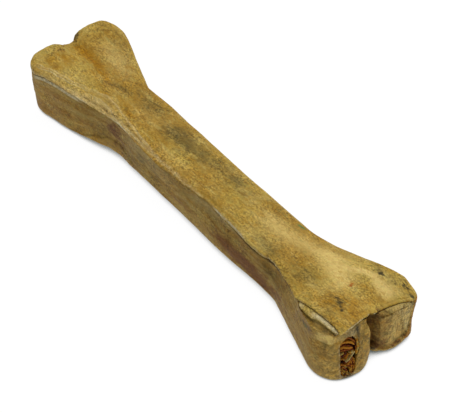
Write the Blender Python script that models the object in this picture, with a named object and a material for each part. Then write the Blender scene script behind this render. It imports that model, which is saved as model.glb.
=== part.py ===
"""A pressed rawhide dog chew, shaped like a bone, with the rolled rawhide inside it.

The bone lies along X with its near end at +X and the seam on its -Y side. It stands on the flat
undersides of its four knuckles, at z = 0. Sizes are in millimetres, and a mesh is scaled to
metres when it is made.
"""
import math

import bmesh
import bpy
import numpy as np

MM = 0.001
MERGE = 0.001 * MM

# The pressed bone.
KNUCKLE_THICK = 24.7
SHAFT_THICK = 18.3
SHAFT_LIFT = 2.6
FLARE_THICKENS_FROM = 56.0
FLARE_THICKENS_TO = 91.0
CROWN = 0.9
CROWN_HALF = 11.2
MID_HEIGHT = KNUCKLE_THICK / 2

# Each knuckle: how far it reaches from the middle, how far it stands out sideways, its round
# end's radius, how square that end is outside and inside the cleft (2 is a circle), the shaft's
# half width it starts from, the flare's angle, and the fillet where it leaves the shaft.
KNUCKLES = {
    ("near", "left"): {
        "reach": 104.2, "side": 21.6, "radius": 10.6, "square": 2.1, "square_inside": 3.0,
        "half": 11.2, "flare": math.radians(16.3), "fillet": 20.0},
    ("near", "right"): {
        "reach": 105.1, "side": 22.5, "radius": 10.65, "square": 3.3, "square_inside": 3.0,
        "half": 12.6, "flare": math.radians(12.5), "fillet": 30.0},
    ("far", "left"): {
        "reach": 104.4, "side": 21.4, "radius": 10.6, "square": 2.3, "square_inside": 2.8,
        "half": 11.2, "flare": math.radians(16.3), "fillet": 8.0},
    ("far", "right"): {
        "reach": 105.1, "side": 22.6, "radius": 10.65, "square": 2.8, "square_inside": 2.7,
        "half": 12.6, "flare": math.radians(17.4), "fillet": 6.0},
}

# The cleft between two knuckles is bridged by the hide's top sheet and by its underside. The
# wall between them swells: how far down, and what share of the bulge it has there.
TOP_NOTCH = {"near": 101.6, "far": 101.3}
UNDER_NOTCH = {"near": 98.5, "far": 98.5}
WALL_BULGE = 0.4
WALL_SWELL = ((0.3, 0.8), (0.6, 1.0), (0.85, 0.6))

# How far the left wall's foot stands out past its top, at places along the bone, and what share
# of that the wall has at the depths in the swell above. The foot draws in round the near right
# knuckle's outer corner.
LEFT_FOOT = (
    (-104.0, -0.9), (-91.0, -1.4), (-79.0, 0.3), (-61.0, 1.1), (-49.0, -0.2), (-37.0, 0.6),
    (0.0, 1.05), (26.0, 1.5), (47.0, 0.9), (68.0, 1.2), (92.0, 0.8), (104.0, 1.2))
FOOT_SHARES = (0.5, 0.85, 1.0)
CORNER_FOOT = -2.1
CORNER_FOOT_FROM = (88.0, 2.0)
CORNER_FOOT_OVER = 14.0
FLAP_FOOT_FROM = 1.0
FLAP_FOOT_OVER = 8.0

# Under the sheet's cut end the near left knuckle's wall draws back: how far, and what share of
# that it has at the same depths. It starts where the wall turns towards the end.
END_DRAW = 1.7
DRAW_SHARES = (0.55, 0.15, 0.0)
END_TURN_FROM = 0.6
END_TURN_OVER = 0.35

# How far the folded right side strays outwards along the shaft.
RIGHT_WANDER = (
    (-64.0, 0.0), (-49.0, 0.7), (-27.0, 0.1), (0.0, 0.05), (36.0, 0.1), (52.0, 0.3), (68.0, 0.9),
    (88.0, 0.2))

# The hide's sheet and its seam. The seam shows from a share of the way round the right knuckles.
# Under the sheet's edge come the crevice and the wall's lip, measured from the sheet's underside.
PLY = 1.2
SEAM_DEPTH = 1.0
SEAM_OVERHANG = 0.25
SEAM_BEGINS = 0.3
SEAM_FULL = 0.85
SHEET_ROUNDS_IN = (0.9, 0.15)
SHEET_ROUNDS_DOWN = 0.3
LIP_INSET = 0.4
LIP_ROUNDS_IN = 0.3
CREVICE_TOP = 0.2
CREVICE_LOW = 0.6
LIP_TOP = 0.8
LIP_LOW = 1.9
FOLD_DEGREES = (12.0, 30.0, 46.0, 58.0, 68.0, 79.0, 90.0)
FOLD_RADIUS = 2.4
UNDER_RADIUS = 1.8
UNDER_DEGREES = (35.0, 62.0)

# Where the seam's edge strays along the shaft: places along the bone, and how far out.
SEAM_WANDER = (
    (-62.0, 0.0), (-49.0, -0.6), (-22.0, 1.4), (10.0, -1.3), (38.0, 0.3), (52.0, -1.3), (66.0, 0.0))

# The top sheet is cut straight along the near left knuckle and leaves the wall's rim bare.
CUT_FROM = (77.5, 17.7)
CUT_CORNER = (102.6, 15.8)
CUT_CORNER_ANGLE = math.radians(38.0)
CUT_END = (101.8, 2.2)

# Valleys that run from each cleft towards the shaft: their depth, half width and length.
VALLEYS = {
    "near": {"depth": 1.3, "half_width": 5.5, "length": 30.0, "aside": 2.5},
    "far": {"depth": 1.7, "half_width": 4.0, "length": 38.0, "aside": 0.5},
}

# The sheet falls away over the near right knuckle's outer corner: where from, how far and how deep.
CORNER_FALL_CENTRE = (93.0, 9.0)
CORNER_FALL_FROM = 7.5
CORNER_FALL_OVER = 7.0
CORNER_FALL_DEPTH = 1.6

# The wrapped edge stands proud round the near right knuckle's tucked end.
TUCK_STEP = 0.8
TUCK_ANGLE = math.radians(40.0)
TUCK_TURN = math.radians(15.0)
TUCK_CLEAR_OF_CLEFT = 2.0

# How finely the outline and the section are divided.
SHAFT_STATIONS = 7
FILLET_STATIONS = 3
FLARE_STATIONS = 4
OUTER_STATIONS = 9
INNER_STATIONS = 5
CLEFT_STATIONS = 5
SPINE_INSET = 4.5
SPINE_EASE = 1.3
TOP_SHARES = (0.0, 0.4, 0.72, 0.9)
UNDER_SHARES = (0.85, 0.45, 0.0)

# The slot in the near left knuckle and the channel behind it, which runs through the bone.
SLOT_CENTRE = (-13.2, 11.9)
SLOT_WIDTH = 7.8
SLOT_HEIGHT = 19.2
CHANNEL = (
    # place along the bone, centre aside, centre height, width, height
    (-87.0, 0.0, MID_HEIGHT, 22.0, 16.0),
    (-74.0, 0.0, MID_HEIGHT, 21.0, 14.2),
    (-58.0, 0.0, MID_HEIGHT, 16.0, 12.4),
    (-20.0, 0.0, MID_HEIGHT, 15.4, 12.0),
    (20.0, 0.0, MID_HEIGHT, 15.4, 12.0),
    (58.0, 0.0, MID_HEIGHT, 16.0, 12.4),
    (72.0, -2.6, MID_HEIGHT, 18.0, 14.2),
    (84.0, -7.4, MID_HEIGHT, 16.0, 16.6),
    (94.0, -11.5, 11.9, 11.4, 18.2),
    (98.0, -12.7, 11.9, 9.2, 18.8),
)
CHANNEL_SQUARE = 3.2
SLOT_INNER_END = 100.2
SLOT_PAST_END = 108.0
GAP = 0.3

# The filling's end: how far the wall round the slot stands out at heights above the underside,
# how far the filling lies behind that, and the folds of its plies.
MOUTH_LEAN = ((1.8, 1.4), (4.8, 1.4), (9.9, 1.1), (15.8, 0.0), (21.6, -1.7))
FILLING_RECESS = 1.2
FOLD_PITCH = 3.0
FOLD_RELIEF = 0.5
FOLD_SLANT = 1.2
ROLL_CENTRE = (-13.3, 16.6)
ROLL_RADIUS = 4.0
ROLL_TALL = 1.15
FRONT_COLUMNS = 5
FRONT_ROWS = 20


def smooth_step(value):
    value = np.clip(value, 0.0, 1.0)
    return value * value * (3.0 - 2.0 * value)


def round_end(knuckle, angles):
    """Points on a knuckle's end, as u along the bone and v sideways."""
    square = np.where(angles > 0.0, knuckle["square"], knuckle["square_inside"])
    power = np.where(np.cos(angles) > 0.0, 2.0 / square, 1.0)
    along = np.sign(np.cos(angles)) * np.abs(np.cos(angles)) ** power
    across = np.sign(np.sin(angles)) * np.abs(np.sin(angles)) ** power
    centre_u = knuckle["reach"] - knuckle["radius"]
    centre_v = knuckle["side"] - knuckle["radius"]
    return np.stack([centre_u + knuckle["radius"] * along, centre_v + knuckle["radius"] * across], axis=1)


def shaft_to_knuckle(knuckle):
    """The straight shaft side, the fillet and the flare, up to the knuckle's round end."""
    fillet, flare_angle, half = knuckle["fillet"], knuckle["flare"], knuckle["half"]
    meets = round_end(knuckle, np.array([math.pi / 2 + flare_angle]))[0]
    rise = half + fillet * (1 - math.cos(flare_angle)) - meets[1]
    fillet_u = meets[0] - fillet * math.sin(flare_angle) + rise / math.tan(flare_angle)
    straight = np.linspace([0.0, half], [fillet_u, half], SHAFT_STATIONS, endpoint=False)
    turn = np.linspace(0.0, flare_angle, FILLET_STATIONS)
    bend = np.stack([fillet_u + fillet * np.sin(turn), half + fillet * (1 - np.cos(turn))], axis=1)
    flare = np.linspace(bend[-1], meets, FLARE_STATIONS + 2)[1:-1]
    return np.concatenate([straight, bend, flare])


def along_line(corners, count):
    """Points spread evenly along straight lines through the corners, both ends included."""
    corners = np.array(corners)
    lengths = np.linalg.norm(np.diff(corners, axis=0), axis=1)
    reached = np.concatenate([[0.0], np.cumsum(lengths)])
    places = np.linspace(0.0, reached[-1], count)
    return np.column_stack([np.interp(places, reached, corners[:, axis]) for axis in (0, 1)])


def notch_angle(knuckle, notch):
    """Where a knuckle's inner side passes the bottom of a notch."""
    share = (notch - knuckle["reach"]) / knuckle["radius"] + 1.0
    return -math.acos(share ** (knuckle["square_inside"] / 2))


def quarter(end, side, notches=None, cut=False):
    """Plan of one quarter of the bone, from the middle of the shaft to the cleft's bottom."""
    knuckle = KNUCKLES[end, side]
    mouth = notch_angle(knuckle, TOP_NOTCH[end])
    outer = np.linspace(math.pi / 2 + knuckle["flare"], 0.0, OUTER_STATIONS, endpoint=False)
    inner = np.linspace(0.0, mouth, INNER_STATIONS, endpoint=False)
    before = np.concatenate([shaft_to_knuckle(knuckle), round_end(knuckle, np.concatenate([outer, inner]))])
    last = -math.pi / 2 if notches is None else notch_angle(knuckle, notches[end])
    cleft_side = round_end(knuckle, np.linspace(mouth, last, CLEFT_STATIONS * 3))
    if cut:
        corner = len(before) - len(inner) - len(outer) + int(np.argmax(outer < CUT_CORNER_ANGLE))
        start = int(np.argmax(before[:, 0] > CUT_FROM[0]))
        before[start:corner + 1] = np.linspace(CUT_FROM, CUT_CORNER, corner + 1 - start)
        before[corner:] = np.linspace(CUT_CORNER, CUT_END, len(before) - corner, endpoint=False)
        cleft_side = np.array([CUT_END])
    bottom = [cleft_side[-1, 0], 0.0]
    return np.concatenate([before, along_line([*cleft_side, bottom], CLEFT_STATIONS)])


def chain(near_left, near_right, far_right, far_left):
    """Join four quarters' values into one closed row, from the left side's middle by the near end."""
    return np.concatenate([near_left, near_right[-2:0:-1], far_right[:-1], far_left[:0:-1]])


def whole_plan(notches=None, cut=False):
    """The bone's closed plan."""
    return chain(
        quarter("near", "left", notches, cut) * [1, -1],
        quarter("near", "right", notches),
        quarter("far", "right", notches) * [-1, 1],
        quarter("far", "left", notches) * [-1, -1],
    )


def outward(plan):
    """The plan's outward normals."""
    along = np.roll(plan, -1, axis=0) - np.roll(plan, 1, axis=0)
    normals = np.stack([along[:, 1], -along[:, 0]], axis=1)
    return normals / np.linalg.norm(normals, axis=1, keepdims=True)


def knuckle_share(x):
    """0 along the shaft, 1 at the knuckles."""
    return smooth_step((np.abs(x) - FLARE_THICKENS_FROM) / (FLARE_THICKENS_TO - FLARE_THICKENS_FROM))


def top_height(x, y):
    """Height of the pressed top surface over a plan point."""
    share = knuckle_share(x)
    thick = SHAFT_THICK + (KNUCKLE_THICK - SHAFT_THICK) * share
    height = MID_HEIGHT + thick / 2 - CROWN * (1 - share) * (y / CROWN_HALF) ** 2
    for end, sign in (("near", 1), ("far", -1)):
        valley = VALLEYS[end]
        start = TOP_NOTCH[end]
        fade = smooth_step((sign * x - start + valley["length"]) / valley["length"])
        across = (y - valley["aside"]) / valley["half_width"]
        height = height - valley["depth"] * fade * np.exp(-across ** 2)
    outwards = np.hypot(x - CORNER_FALL_CENTRE[0], y - CORNER_FALL_CENTRE[1]) - CORNER_FALL_FROM
    at_corner = smooth_step((x - CORNER_FALL_CENTRE[0]) / CORNER_FALL_OVER)
    at_corner = at_corner * smooth_step((y - CORNER_FALL_CENTRE[1] + CORNER_FALL_OVER) / CORNER_FALL_OVER)
    return height - CORNER_FALL_DEPTH * smooth_step(outwards / CORNER_FALL_OVER) * at_corner


def under_height(x):
    """Height of the pressed underside: flat under the knuckles and lifted along the shaft."""
    return SHAFT_LIFT * (1 - knuckle_share(x))


def spine(notches, cut=False):
    """For each station, the point on the centre line that its row of faces runs to."""
    centre = {}
    for end in ("near", "far"):
        left = quarter(end, "left", notches, cut and end == "near")[:, 0]
        right = quarter(end, "right", notches)[:, 0]
        start = len(left) - CLEFT_STATIONS - INNER_STATIONS - OUTER_STATIONS
        row = (left + right) / 2
        last = notches[end] - SPINE_INSET
        share = np.linspace(0.0, 1.0, len(row) - start)
        row[start:] = row[start] + (last - row[start]) * (1.0 - (1.0 - share) ** SPINE_EASE)
        centre[end] = row
    place = chain(centre["near"], centre["near"], -centre["far"], -centre["far"])
    return np.column_stack([place, np.zeros(len(place))])


def quarter_shares():
    """Along a quarter: where its round end and its cleft are, each rising from 0 to 1."""
    before = len(quarter("near", "left")) - OUTER_STATIONS - INNER_STATIONS - CLEFT_STATIONS
    turned = np.concatenate([np.zeros(before), np.linspace(0.0, 1.0, OUTER_STATIONS)])
    turned = np.concatenate([turned, np.ones(INNER_STATIONS + CLEFT_STATIONS)])
    in_cleft = np.concatenate([np.zeros(before + OUTER_STATIONS + INNER_STATIONS - 1), [0.5]])
    in_cleft = np.concatenate([in_cleft, np.ones(CLEFT_STATIONS)])
    return turned, in_cleft


def seam_share():
    """How far each station's section shows the seam: all of it but for the folded right side."""
    turned, _ = quarter_shares()
    left = np.ones(len(turned))
    right = smooth_step((turned - SEAM_BEGINS) / (SEAM_FULL - SEAM_BEGINS))
    return chain(left, right, right, left)


def cleft_share():
    """How far each station lies in a cleft, under the sheet that bridges it."""
    _, in_cleft = quarter_shares()
    return chain(in_cleft, in_cleft, in_cleft, in_cleft)


def through(table, x):
    """The smooth run through a table of places along the bone and values there."""
    places, values = np.array(table).T
    at = np.clip(np.searchsorted(places, x), 1, len(places) - 1)
    share = smooth_step((x - places[at - 1]) / (places[at] - places[at - 1]))
    return values[at - 1] + (values[at] - values[at - 1]) * share


def seam_wander(plan):
    """How far the seam's edge strays outwards along the shaft's left side."""
    return np.where(plan[:, 1] < 0.0, through(SEAM_WANDER, plan[:, 0]), 0.0)


def strayed(plan):
    """A plan with the folded right side's strays along the shaft."""
    stray = np.where(plan[:, 1] > 0.0, through(RIGHT_WANDER, plan[:, 0]), 0.0)
    return plan + outward(plan) * stray[:, None]


def foot_offset(plan):
    """How far the wall's foot stands out past its top."""
    x, y = plan[:, 0], plan[:, 1]
    at_corner = smooth_step((x - CORNER_FOOT_FROM[0]) / CORNER_FOOT_OVER)
    at_corner = at_corner * smooth_step((y - CORNER_FOOT_FROM[1]) / CORNER_FOOT_OVER)
    left = through(LEFT_FOOT, x) * smooth_step(-(y + FLAP_FOOT_FROM) / FLAP_FOOT_OVER)
    return np.where(y < 0.0, left, CORNER_FOOT * at_corner)


def end_draw(plan, normals):
    """How far the near left knuckle's wall draws back under the sheet's cut end."""
    turned = smooth_step((normals[:, 0] - END_TURN_FROM) / END_TURN_OVER)
    return np.where((plan[:, 1] < 0.0) & (plan[:, 0] > 0.0), END_DRAW * turned, 0.0)


def wrap_rings():
    """Rings right round the hide, from the top's centre line out and in to the underside's."""
    sheet = strayed(whole_plan(TOP_NOTCH, cut=True))
    wall = strayed(whole_plan())
    under = strayed(whole_plan(UNDER_NOTCH))
    sheet_out = outward(sheet)
    wall_out = outward(wall)
    under_out = outward(under)
    seam = seam_share()
    seam_column = seam[:, None]
    open_wall = 1.0 - cleft_share()[:, None]

    sheet_z = top_height(sheet[:, 0], sheet[:, 1])
    under_z = under_height(under[:, 0])
    overhang = SEAM_OVERHANG * seam_column + seam_wander(sheet)[:, None]
    edge = sheet + sheet_out * overhang

    # The crevice lies behind whichever of the sheet's edge and the wall is further in.
    inset = np.minimum(((edge - wall) * wall_out).sum(axis=1, keepdims=True), 0.0) * open_wall
    behind_wall = wall - wall_out * SEAM_DEPTH * open_wall
    behind_edge = edge - sheet_out * SEAM_DEPTH * open_wall
    crevice = behind_wall + (behind_edge - behind_wall) * np.minimum(-inset / SEAM_DEPTH, 1.0)
    lip_inset = np.maximum(inset / 2, -LIP_INSET) - LIP_ROUNDS_IN

    bulge = WALL_BULGE * knuckle_share(wall[:, 0])[:, None] * open_wall
    foot = foot_offset(wall)[:, None] * open_wall
    tuck = tuck_offset(wall)[:, None]
    face = wall + wall_out * tuck
    draw = end_draw(wall, wall_out)[:, None] * open_wall
    seam_rings = [
        (edge - sheet_out * SHEET_ROUNDS_IN[0], sheet_z),
        (edge - sheet_out * SHEET_ROUNDS_IN[1], sheet_z - SHEET_ROUNDS_DOWN),
        (edge, sheet_z - PLY),
        (crevice, sheet_z - PLY - CREVICE_TOP),
        (crevice, sheet_z - PLY - CREVICE_LOW),
        (face + wall_out * (lip_inset * open_wall - draw), sheet_z - PLY - LIP_TOP),
        (face - wall_out * draw, sheet_z - PLY - LIP_LOW),
    ]
    fold_rings = [
        (sheet - sheet_out * FOLD_RADIUS * (1 - math.sin(turn)),
         sheet_z - FOLD_RADIUS * (1 - math.cos(turn)))
        for turn in np.radians(FOLD_DEGREES)
    ]
    rings = []
    centre = spine(TOP_NOTCH, cut=True)
    first_edge = seam_rings[0][0] * seam_column + fold_rings[0][0] * (1 - seam_column)
    for share in TOP_SHARES:
        plan = centre + (first_edge - centre) * share
        rings.append(np.column_stack([plan, top_height(plan[:, 0], plan[:, 1])]))
    for (seam_plan, seam_z), (fold_plan, fold_z) in zip(seam_rings, fold_rings):
        plan = seam_plan * seam_column + fold_plan * (1 - seam_column)
        rings.append(np.column_stack([plan, seam_z * seam + fold_z * (1 - seam)]))

    low = under_z + UNDER_RADIUS
    high = rings[-1][:, 2]
    for (share, swell), foot_share, draw_share in zip(WALL_SWELL, FOOT_SHARES, DRAW_SHARES):
        plan = face + wall_out * (bulge * swell + foot * foot_share - draw * draw_share)
        rings.append(np.column_stack([plan, high + (low - high) * share]))
    under = under + under_out * foot
    rings.append(np.column_stack([under + under_out * tuck / 2, low]))
    for angle in np.radians(UNDER_DEGREES):
        plan = under - under_out * UNDER_RADIUS * (1 - math.cos(angle))
        rings.append(np.column_stack([plan, under_z + UNDER_RADIUS * (1 - math.sin(angle))]))
    flat = under - under_out * UNDER_RADIUS
    rings.append(np.column_stack([flat, under_height(flat[:, 0])]))
    centre = spine(UNDER_NOTCH)
    for share in UNDER_SHARES:
        plan = centre + (flat - centre) * share
        rings.append(np.column_stack([plan, under_height(plan[:, 0])]))
    return rings


def tuck_offset(wall):
    """How far the wrapped edge stands out past the tucked end of the near right knuckle."""
    knuckle = KNUCKLES["near", "right"]
    centre = np.array([knuckle["reach"] - knuckle["radius"], knuckle["side"] - knuckle["radius"]])
    from_centre = wall - centre
    angle = np.arctan2(from_centre[:, 1], from_centre[:, 0])
    on_end = (wall[:, 0] > centre[0]) & (wall[:, 1] > TUCK_CLEAR_OF_CLEFT)
    return np.where(on_end, -TUCK_STEP * smooth_step((TUCK_ANGLE - angle) / TUCK_TURN), 0.0)


def skin(rings, closed_ends):
    """A closed mesh over rings of points: its first and last rings fold onto themselves or are capped."""
    mesh = bmesh.new()
    rows = []
    for ring in rings:
        rows.append([mesh.verts.new(point * MM) for point in ring])
    for upper, lower in zip(rows[:-1], rows[1:]):
        count = len(upper)
        for i in range(count):
            j = (i + 1) % count
            mesh.faces.new((upper[j], upper[i], lower[i], lower[j]))
    if closed_ends == "caps":
        mesh.faces.new(rows[0])
        mesh.faces.new(reversed(rows[-1]))
    else:
        bmesh.ops.remove_doubles(mesh, verts=rows[0] + rows[-1], dist=MERGE)
    bmesh.ops.dissolve_degenerate(mesh, edges=mesh.edges, dist=MERGE)
    bmesh.ops.recalc_face_normals(mesh, faces=mesh.faces)
    return mesh


def rounded_section(centre, width, height, inset):
    """A rounded rectangle in the YZ plane, from its lower -Y corner round by its lower side."""
    quarters = [(-135.0, -45.0, FRONT_COLUMNS), (-45.0, 45.0, FRONT_ROWS),
                (45.0, 135.0, FRONT_COLUMNS), (135.0, 225.0, FRONT_ROWS)]
    spans = [np.linspace(first, last, count, endpoint=False) for first, last, count in quarters]
    turn = np.radians(np.concatenate(spans))
    power = 2.0 / CHANNEL_SQUARE
    y = np.sign(np.cos(turn)) * np.abs(np.cos(turn)) ** power
    z = np.sign(np.sin(turn)) * np.abs(np.sin(turn)) ** power
    return np.array(centre) + np.stack([y * (width / 2 - inset), z * (height / 2 - inset)], axis=1)


def channel_rings(inset):
    """Sections of the channel from its blind end, in the far knuckles, to just behind the slot."""
    rings = []
    for x, centre_y, centre_z, width, height in CHANNEL:
        section = rounded_section((centre_y, centre_z), width, height, inset)
        start = inset if x == CHANNEL[0][0] else 0.0
        rings.append(np.column_stack([np.full(len(section), x + start), section]))
    return rings


def channel_mesh():
    """The space that the filling takes, with its mouth past the knuckle's end."""
    rings = channel_rings(0.0)
    mouth = rounded_section(SLOT_CENTRE, SLOT_WIDTH, SLOT_HEIGHT, 0.0)
    for x in (SLOT_INNER_END, SLOT_PAST_END):
        rings.append(np.column_stack([np.full(len(mouth), x), mouth]))
    return skin(rings, "caps")


def mouth_depth(y, z):
    """How far along the bone the near left knuckle's end lies, at a distance aside and a height."""
    knuckle = KNUCKLES["near", "left"]
    centre_y = knuckle["radius"] - knuckle["side"]
    across = np.minimum(np.abs(y - centre_y) / knuckle["radius"], 1.0)
    square = np.where(y < centre_y, knuckle["square"], knuckle["square_inside"])
    along = (1.0 - across ** square) ** (1.0 / square)
    lean = np.interp(z, *np.array(MOUTH_LEAN).T)
    return knuckle["reach"] - knuckle["radius"] + knuckle["radius"] * along + lean


def fold_relief(y, z):
    """Ridges of the filling's folded plies: a roll at the top of the slot over slanting folds."""
    from_roll = np.hypot(y - ROLL_CENTRE[0], (z - ROLL_CENTRE[1]) / ROLL_TALL)
    slanting = z + FOLD_SLANT * np.sin((y - SLOT_CENTRE[0]) / FOLD_SLANT)
    in_roll = smooth_step(ROLL_RADIUS - from_roll)
    phase = from_roll * in_roll + slanting * (1.0 - in_roll)
    return FOLD_RELIEF * np.sin(phase * 2 * math.pi / FOLD_PITCH)


def front_grid(section):
    """Points over the filling's front, spread evenly between the four sides of its section."""
    columns, rows = FRONT_COLUMNS, FRONT_ROWS
    closed = np.concatenate([section, section[:1]])
    low = closed[:columns + 1]
    right = closed[columns:columns + rows + 1]
    high = closed[columns + rows:2 * columns + rows + 1][::-1]
    left = closed[2 * columns + rows:][::-1]
    s = np.linspace(0.0, 1.0, columns + 1)[None, :, None]
    t = np.linspace(0.0, 1.0, rows + 1)[:, None, None]
    sides = (1 - t) * low[None] + t * high[None] + (1 - s) * left[:, None] + s * right[:, None]
    corners = (1 - t) * ((1 - s) * low[0] + s * low[-1]) + t * ((1 - s) * high[0] + s * high[-1])
    return sides - corners


def filling_mesh():
    """The rolled rawhide, whose end shows its folded plies in the slot."""
    section = rounded_section(SLOT_CENTRE, SLOT_WIDTH, SLOT_HEIGHT, GAP)
    rim_x = mouth_depth(section[:, 0], section[:, 1]) - FILLING_RECESS - FOLD_RELIEF
    inner_end = np.full(len(section), SLOT_INNER_END)
    rings = channel_rings(GAP) + [np.column_stack([inner_end, section]), np.column_stack([rim_x, section])]
    mesh = skin(rings, "caps")
    front = max(mesh.faces, key=lambda face: face.calc_center_median().x)
    bmesh.ops.delete(mesh, geom=[front], context="FACES_ONLY")
    rim = list(mesh.verts)[-len(section):]
    grid = front_grid(section)
    x = mouth_depth(grid[..., 0], grid[..., 1]) - FILLING_RECESS
    x = x + fold_relief(grid[..., 0], grid[..., 1])
    columns, rows = FRONT_COLUMNS, FRONT_ROWS
    verts = {rim_cell(place): vert for place, vert in enumerate(rim)}
    for row in range(1, rows):
        for column in range(1, columns):
            point = np.array([x[row, column], *grid[row, column]])
            verts[row, column] = mesh.verts.new(point * MM)
    for row in range(rows):
        for column in range(columns):
            cell = [(row, column), (row, column + 1), (row + 1, column + 1), (row + 1, column)]
            mesh.faces.new([verts[key] for key in cell])
    bmesh.ops.recalc_face_normals(mesh, faces=mesh.faces)
    return mesh


def rim_cell(place):
    """The row and column on the front's grid of a point of its rim."""
    columns, rows = FRONT_COLUMNS, FRONT_ROWS
    if place < columns:
        return 0, place
    if place < columns + rows:
        return place - columns, columns
    if place < 2 * columns + rows:
        return rows, columns - (place - columns - rows)
    return rows - (place - 2 * columns - rows), 0


def rawhide(name, colour, roughness):
    """A dried rawhide finish."""
    material = bpy.data.materials.new(name)
    material.use_nodes = True
    shader = material.node_tree.nodes["Principled BSDF"]
    shader.inputs["Base Color"].default_value = (*colour, 1.0)
    shader.inputs["Roughness"].default_value = roughness
    shader.inputs["Metallic"].default_value = 0.0
    return material


def add_object(name, mesh, material=None):
    """Put a finished mesh in the scene under its name."""
    data = bpy.data.meshes.new(name)
    mesh.to_mesh(data)
    mesh.free()
    data.shade_smooth()
    data.set_sharp_from_angle(angle=math.radians(40.0))
    piece = bpy.data.objects.new(name, data)
    bpy.context.collection.objects.link(piece)
    if material is not None:
        data.materials.append(material)
    return piece


def make_hide_wrap():
    """The wrapped hide, with the channel cut out of it."""
    finish = rawhide("pressed_rawhide", (0.38, 0.25, 0.08), 0.55)
    wrap = add_object("hide_wrap", skin(wrap_rings(), "folded"), finish)
    cutter = add_object("channel_cutter", channel_mesh())
    cutter.hide_render = True
    cutter.display_type = "WIRE"
    cut = wrap.modifiers.new("channel", "BOOLEAN")
    cut.object = cutter
    cut.operation = "DIFFERENCE"
    return wrap


def make_rolled_filling():
    """The rolled and folded rawhide inside the wrap."""
    finish = rawhide("toasted_rawhide", (0.22, 0.07, 0.015), 0.6)
    return add_object("rolled_filling", filling_mesh(), finish)


def main():
    for existing in list(bpy.data.objects):
        bpy.data.objects.remove(existing)
    make_hide_wrap()
    make_rolled_filling()


main()
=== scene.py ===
"""A pressed rawhide bone for a dog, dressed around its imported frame.

The hide is one sheet that wraps a long roll of rawhide: it folds over on the right, and its edges
meet along the left side of the top. The roll shows in the slot of the near left knuckle. Sizes
in this file are in millimetres unless a comment or a property says otherwise.
"""
import math
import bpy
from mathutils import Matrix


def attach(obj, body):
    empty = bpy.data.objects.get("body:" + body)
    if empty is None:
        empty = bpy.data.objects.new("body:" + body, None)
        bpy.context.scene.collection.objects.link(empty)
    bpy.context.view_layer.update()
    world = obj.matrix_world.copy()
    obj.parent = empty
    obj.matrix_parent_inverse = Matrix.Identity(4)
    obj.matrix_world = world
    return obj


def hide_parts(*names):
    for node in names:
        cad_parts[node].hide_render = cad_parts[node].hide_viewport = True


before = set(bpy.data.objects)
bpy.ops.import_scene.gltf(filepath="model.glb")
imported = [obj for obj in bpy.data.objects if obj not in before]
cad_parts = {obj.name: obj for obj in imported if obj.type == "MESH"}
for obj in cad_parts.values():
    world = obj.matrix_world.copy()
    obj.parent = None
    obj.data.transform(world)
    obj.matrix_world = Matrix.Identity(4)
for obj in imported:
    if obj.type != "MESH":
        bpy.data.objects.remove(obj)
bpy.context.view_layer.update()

from types import SimpleNamespace

import bmesh
import bpy
import numpy as np
from mathutils import Matrix, Vector, kdtree, noise

bl_info = {
    "name": "Pressed rawhide bone",
    "version": (1, 0, 0),
    "blender": (4, 5, 0),
    "location": "View3D > Sidebar > Rawhide bone",
    "description": "Builds a pressed rawhide dog chew around its packed frame",
    "category": "Add Mesh",
}

MM = 0.001
BODY = "root"

# The pressed bone's outline, as the frame has it.
KNUCKLE_THICK = 24.7
SHAFT_THICK = 18.3
SHAFT_LIFT = 2.6
THICKENS_FROM = 56.0
THICKENS_TO = 91.0
CROWN = 0.9
CROWN_HALF = 11.2
MID_HEIGHT = KNUCKLE_THICK / 2
KNUCKLES = {
    ("near", "left"): dict(
        reach=104.2, side=21.6, radius=10.6, square=2.1, inside=3.0, half=11.2,
        flare=math.radians(16.3), fillet=20.0),
    ("near", "right"): dict(
        reach=105.1, side=22.5, radius=10.65, square=3.3, inside=3.0, half=12.6,
        flare=math.radians(12.5), fillet=30.0),
    ("far", "left"): dict(
        reach=104.4, side=21.4, radius=10.6, square=2.3, inside=2.8, half=11.2,
        flare=math.radians(16.3), fillet=8.0),
    ("far", "right"): dict(
        reach=105.1, side=22.6, radius=10.65, square=2.8, inside=2.7, half=12.6,
        flare=math.radians(17.4), fillet=6.0),
}
TOP_NOTCH = {"near": 101.6, "far": 101.3}
UNDER_NOTCH = {"near": 98.5, "far": 98.5}
VALLEYS = {
    "near": dict(depth=1.3, half_width=5.5, length=30.0, aside=2.5),
    "far": dict(depth=1.7, half_width=4.0, length=38.0, aside=0.5),
}
CORNER_FALL = dict(centre=(93.0, 9.0), start=7.5, over=7.0, depth=1.6)

# How far the left wall's foot stands out past its top. The foot draws in round the near right
# knuckle's outer corner, and the near left knuckle's wall draws back under the sheet's cut end.
LEFT_FOOT = (
    (-104.0, -0.9), (-91.0, -1.4), (-79.0, 0.3), (-61.0, 1.1), (-49.0, -0.2), (-37.0, 0.6), (0.0, 1.05),
    (26.0, 1.5), (47.0, 0.9), (68.0, 1.2), (92.0, 0.8), (104.0, 1.2),
)
CORNER_FOOT = dict(depth=-2.1, start=(88.0, 2.0), over=(14.0, 14.0))
FLAP_FOOT = dict(start=1.0, over=8.0)
END_DRAW = 1.7
END_TURN = dict(start=0.7, over=0.28)
DRAWN_TO = 0.85

# How far the folded right side strays outwards along the shaft.
RIGHT_WANDER = (
    (-64.0, 0.0), (-49.0, 0.7), (-27.0, 0.1), (0.0, 0.05), (36.0, 0.1), (52.0, 0.3), (68.0, 0.9),
    (88.0, 0.2),
)

# How finely the outline is divided: the shaft's half, its fillet, the flare, the knuckle's
# outer and inner turn, and the cleft.
SHAFT_STATIONS = 104
FILLET_STATIONS = 14
FLARE_STATIONS = 54
OUTER_STATIONS = 62
INNER_STATIONS = 32
CLEFT_STATIONS = 12
SPINE_INSET = 4.5
SPINE_EASE = 1.3

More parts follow.
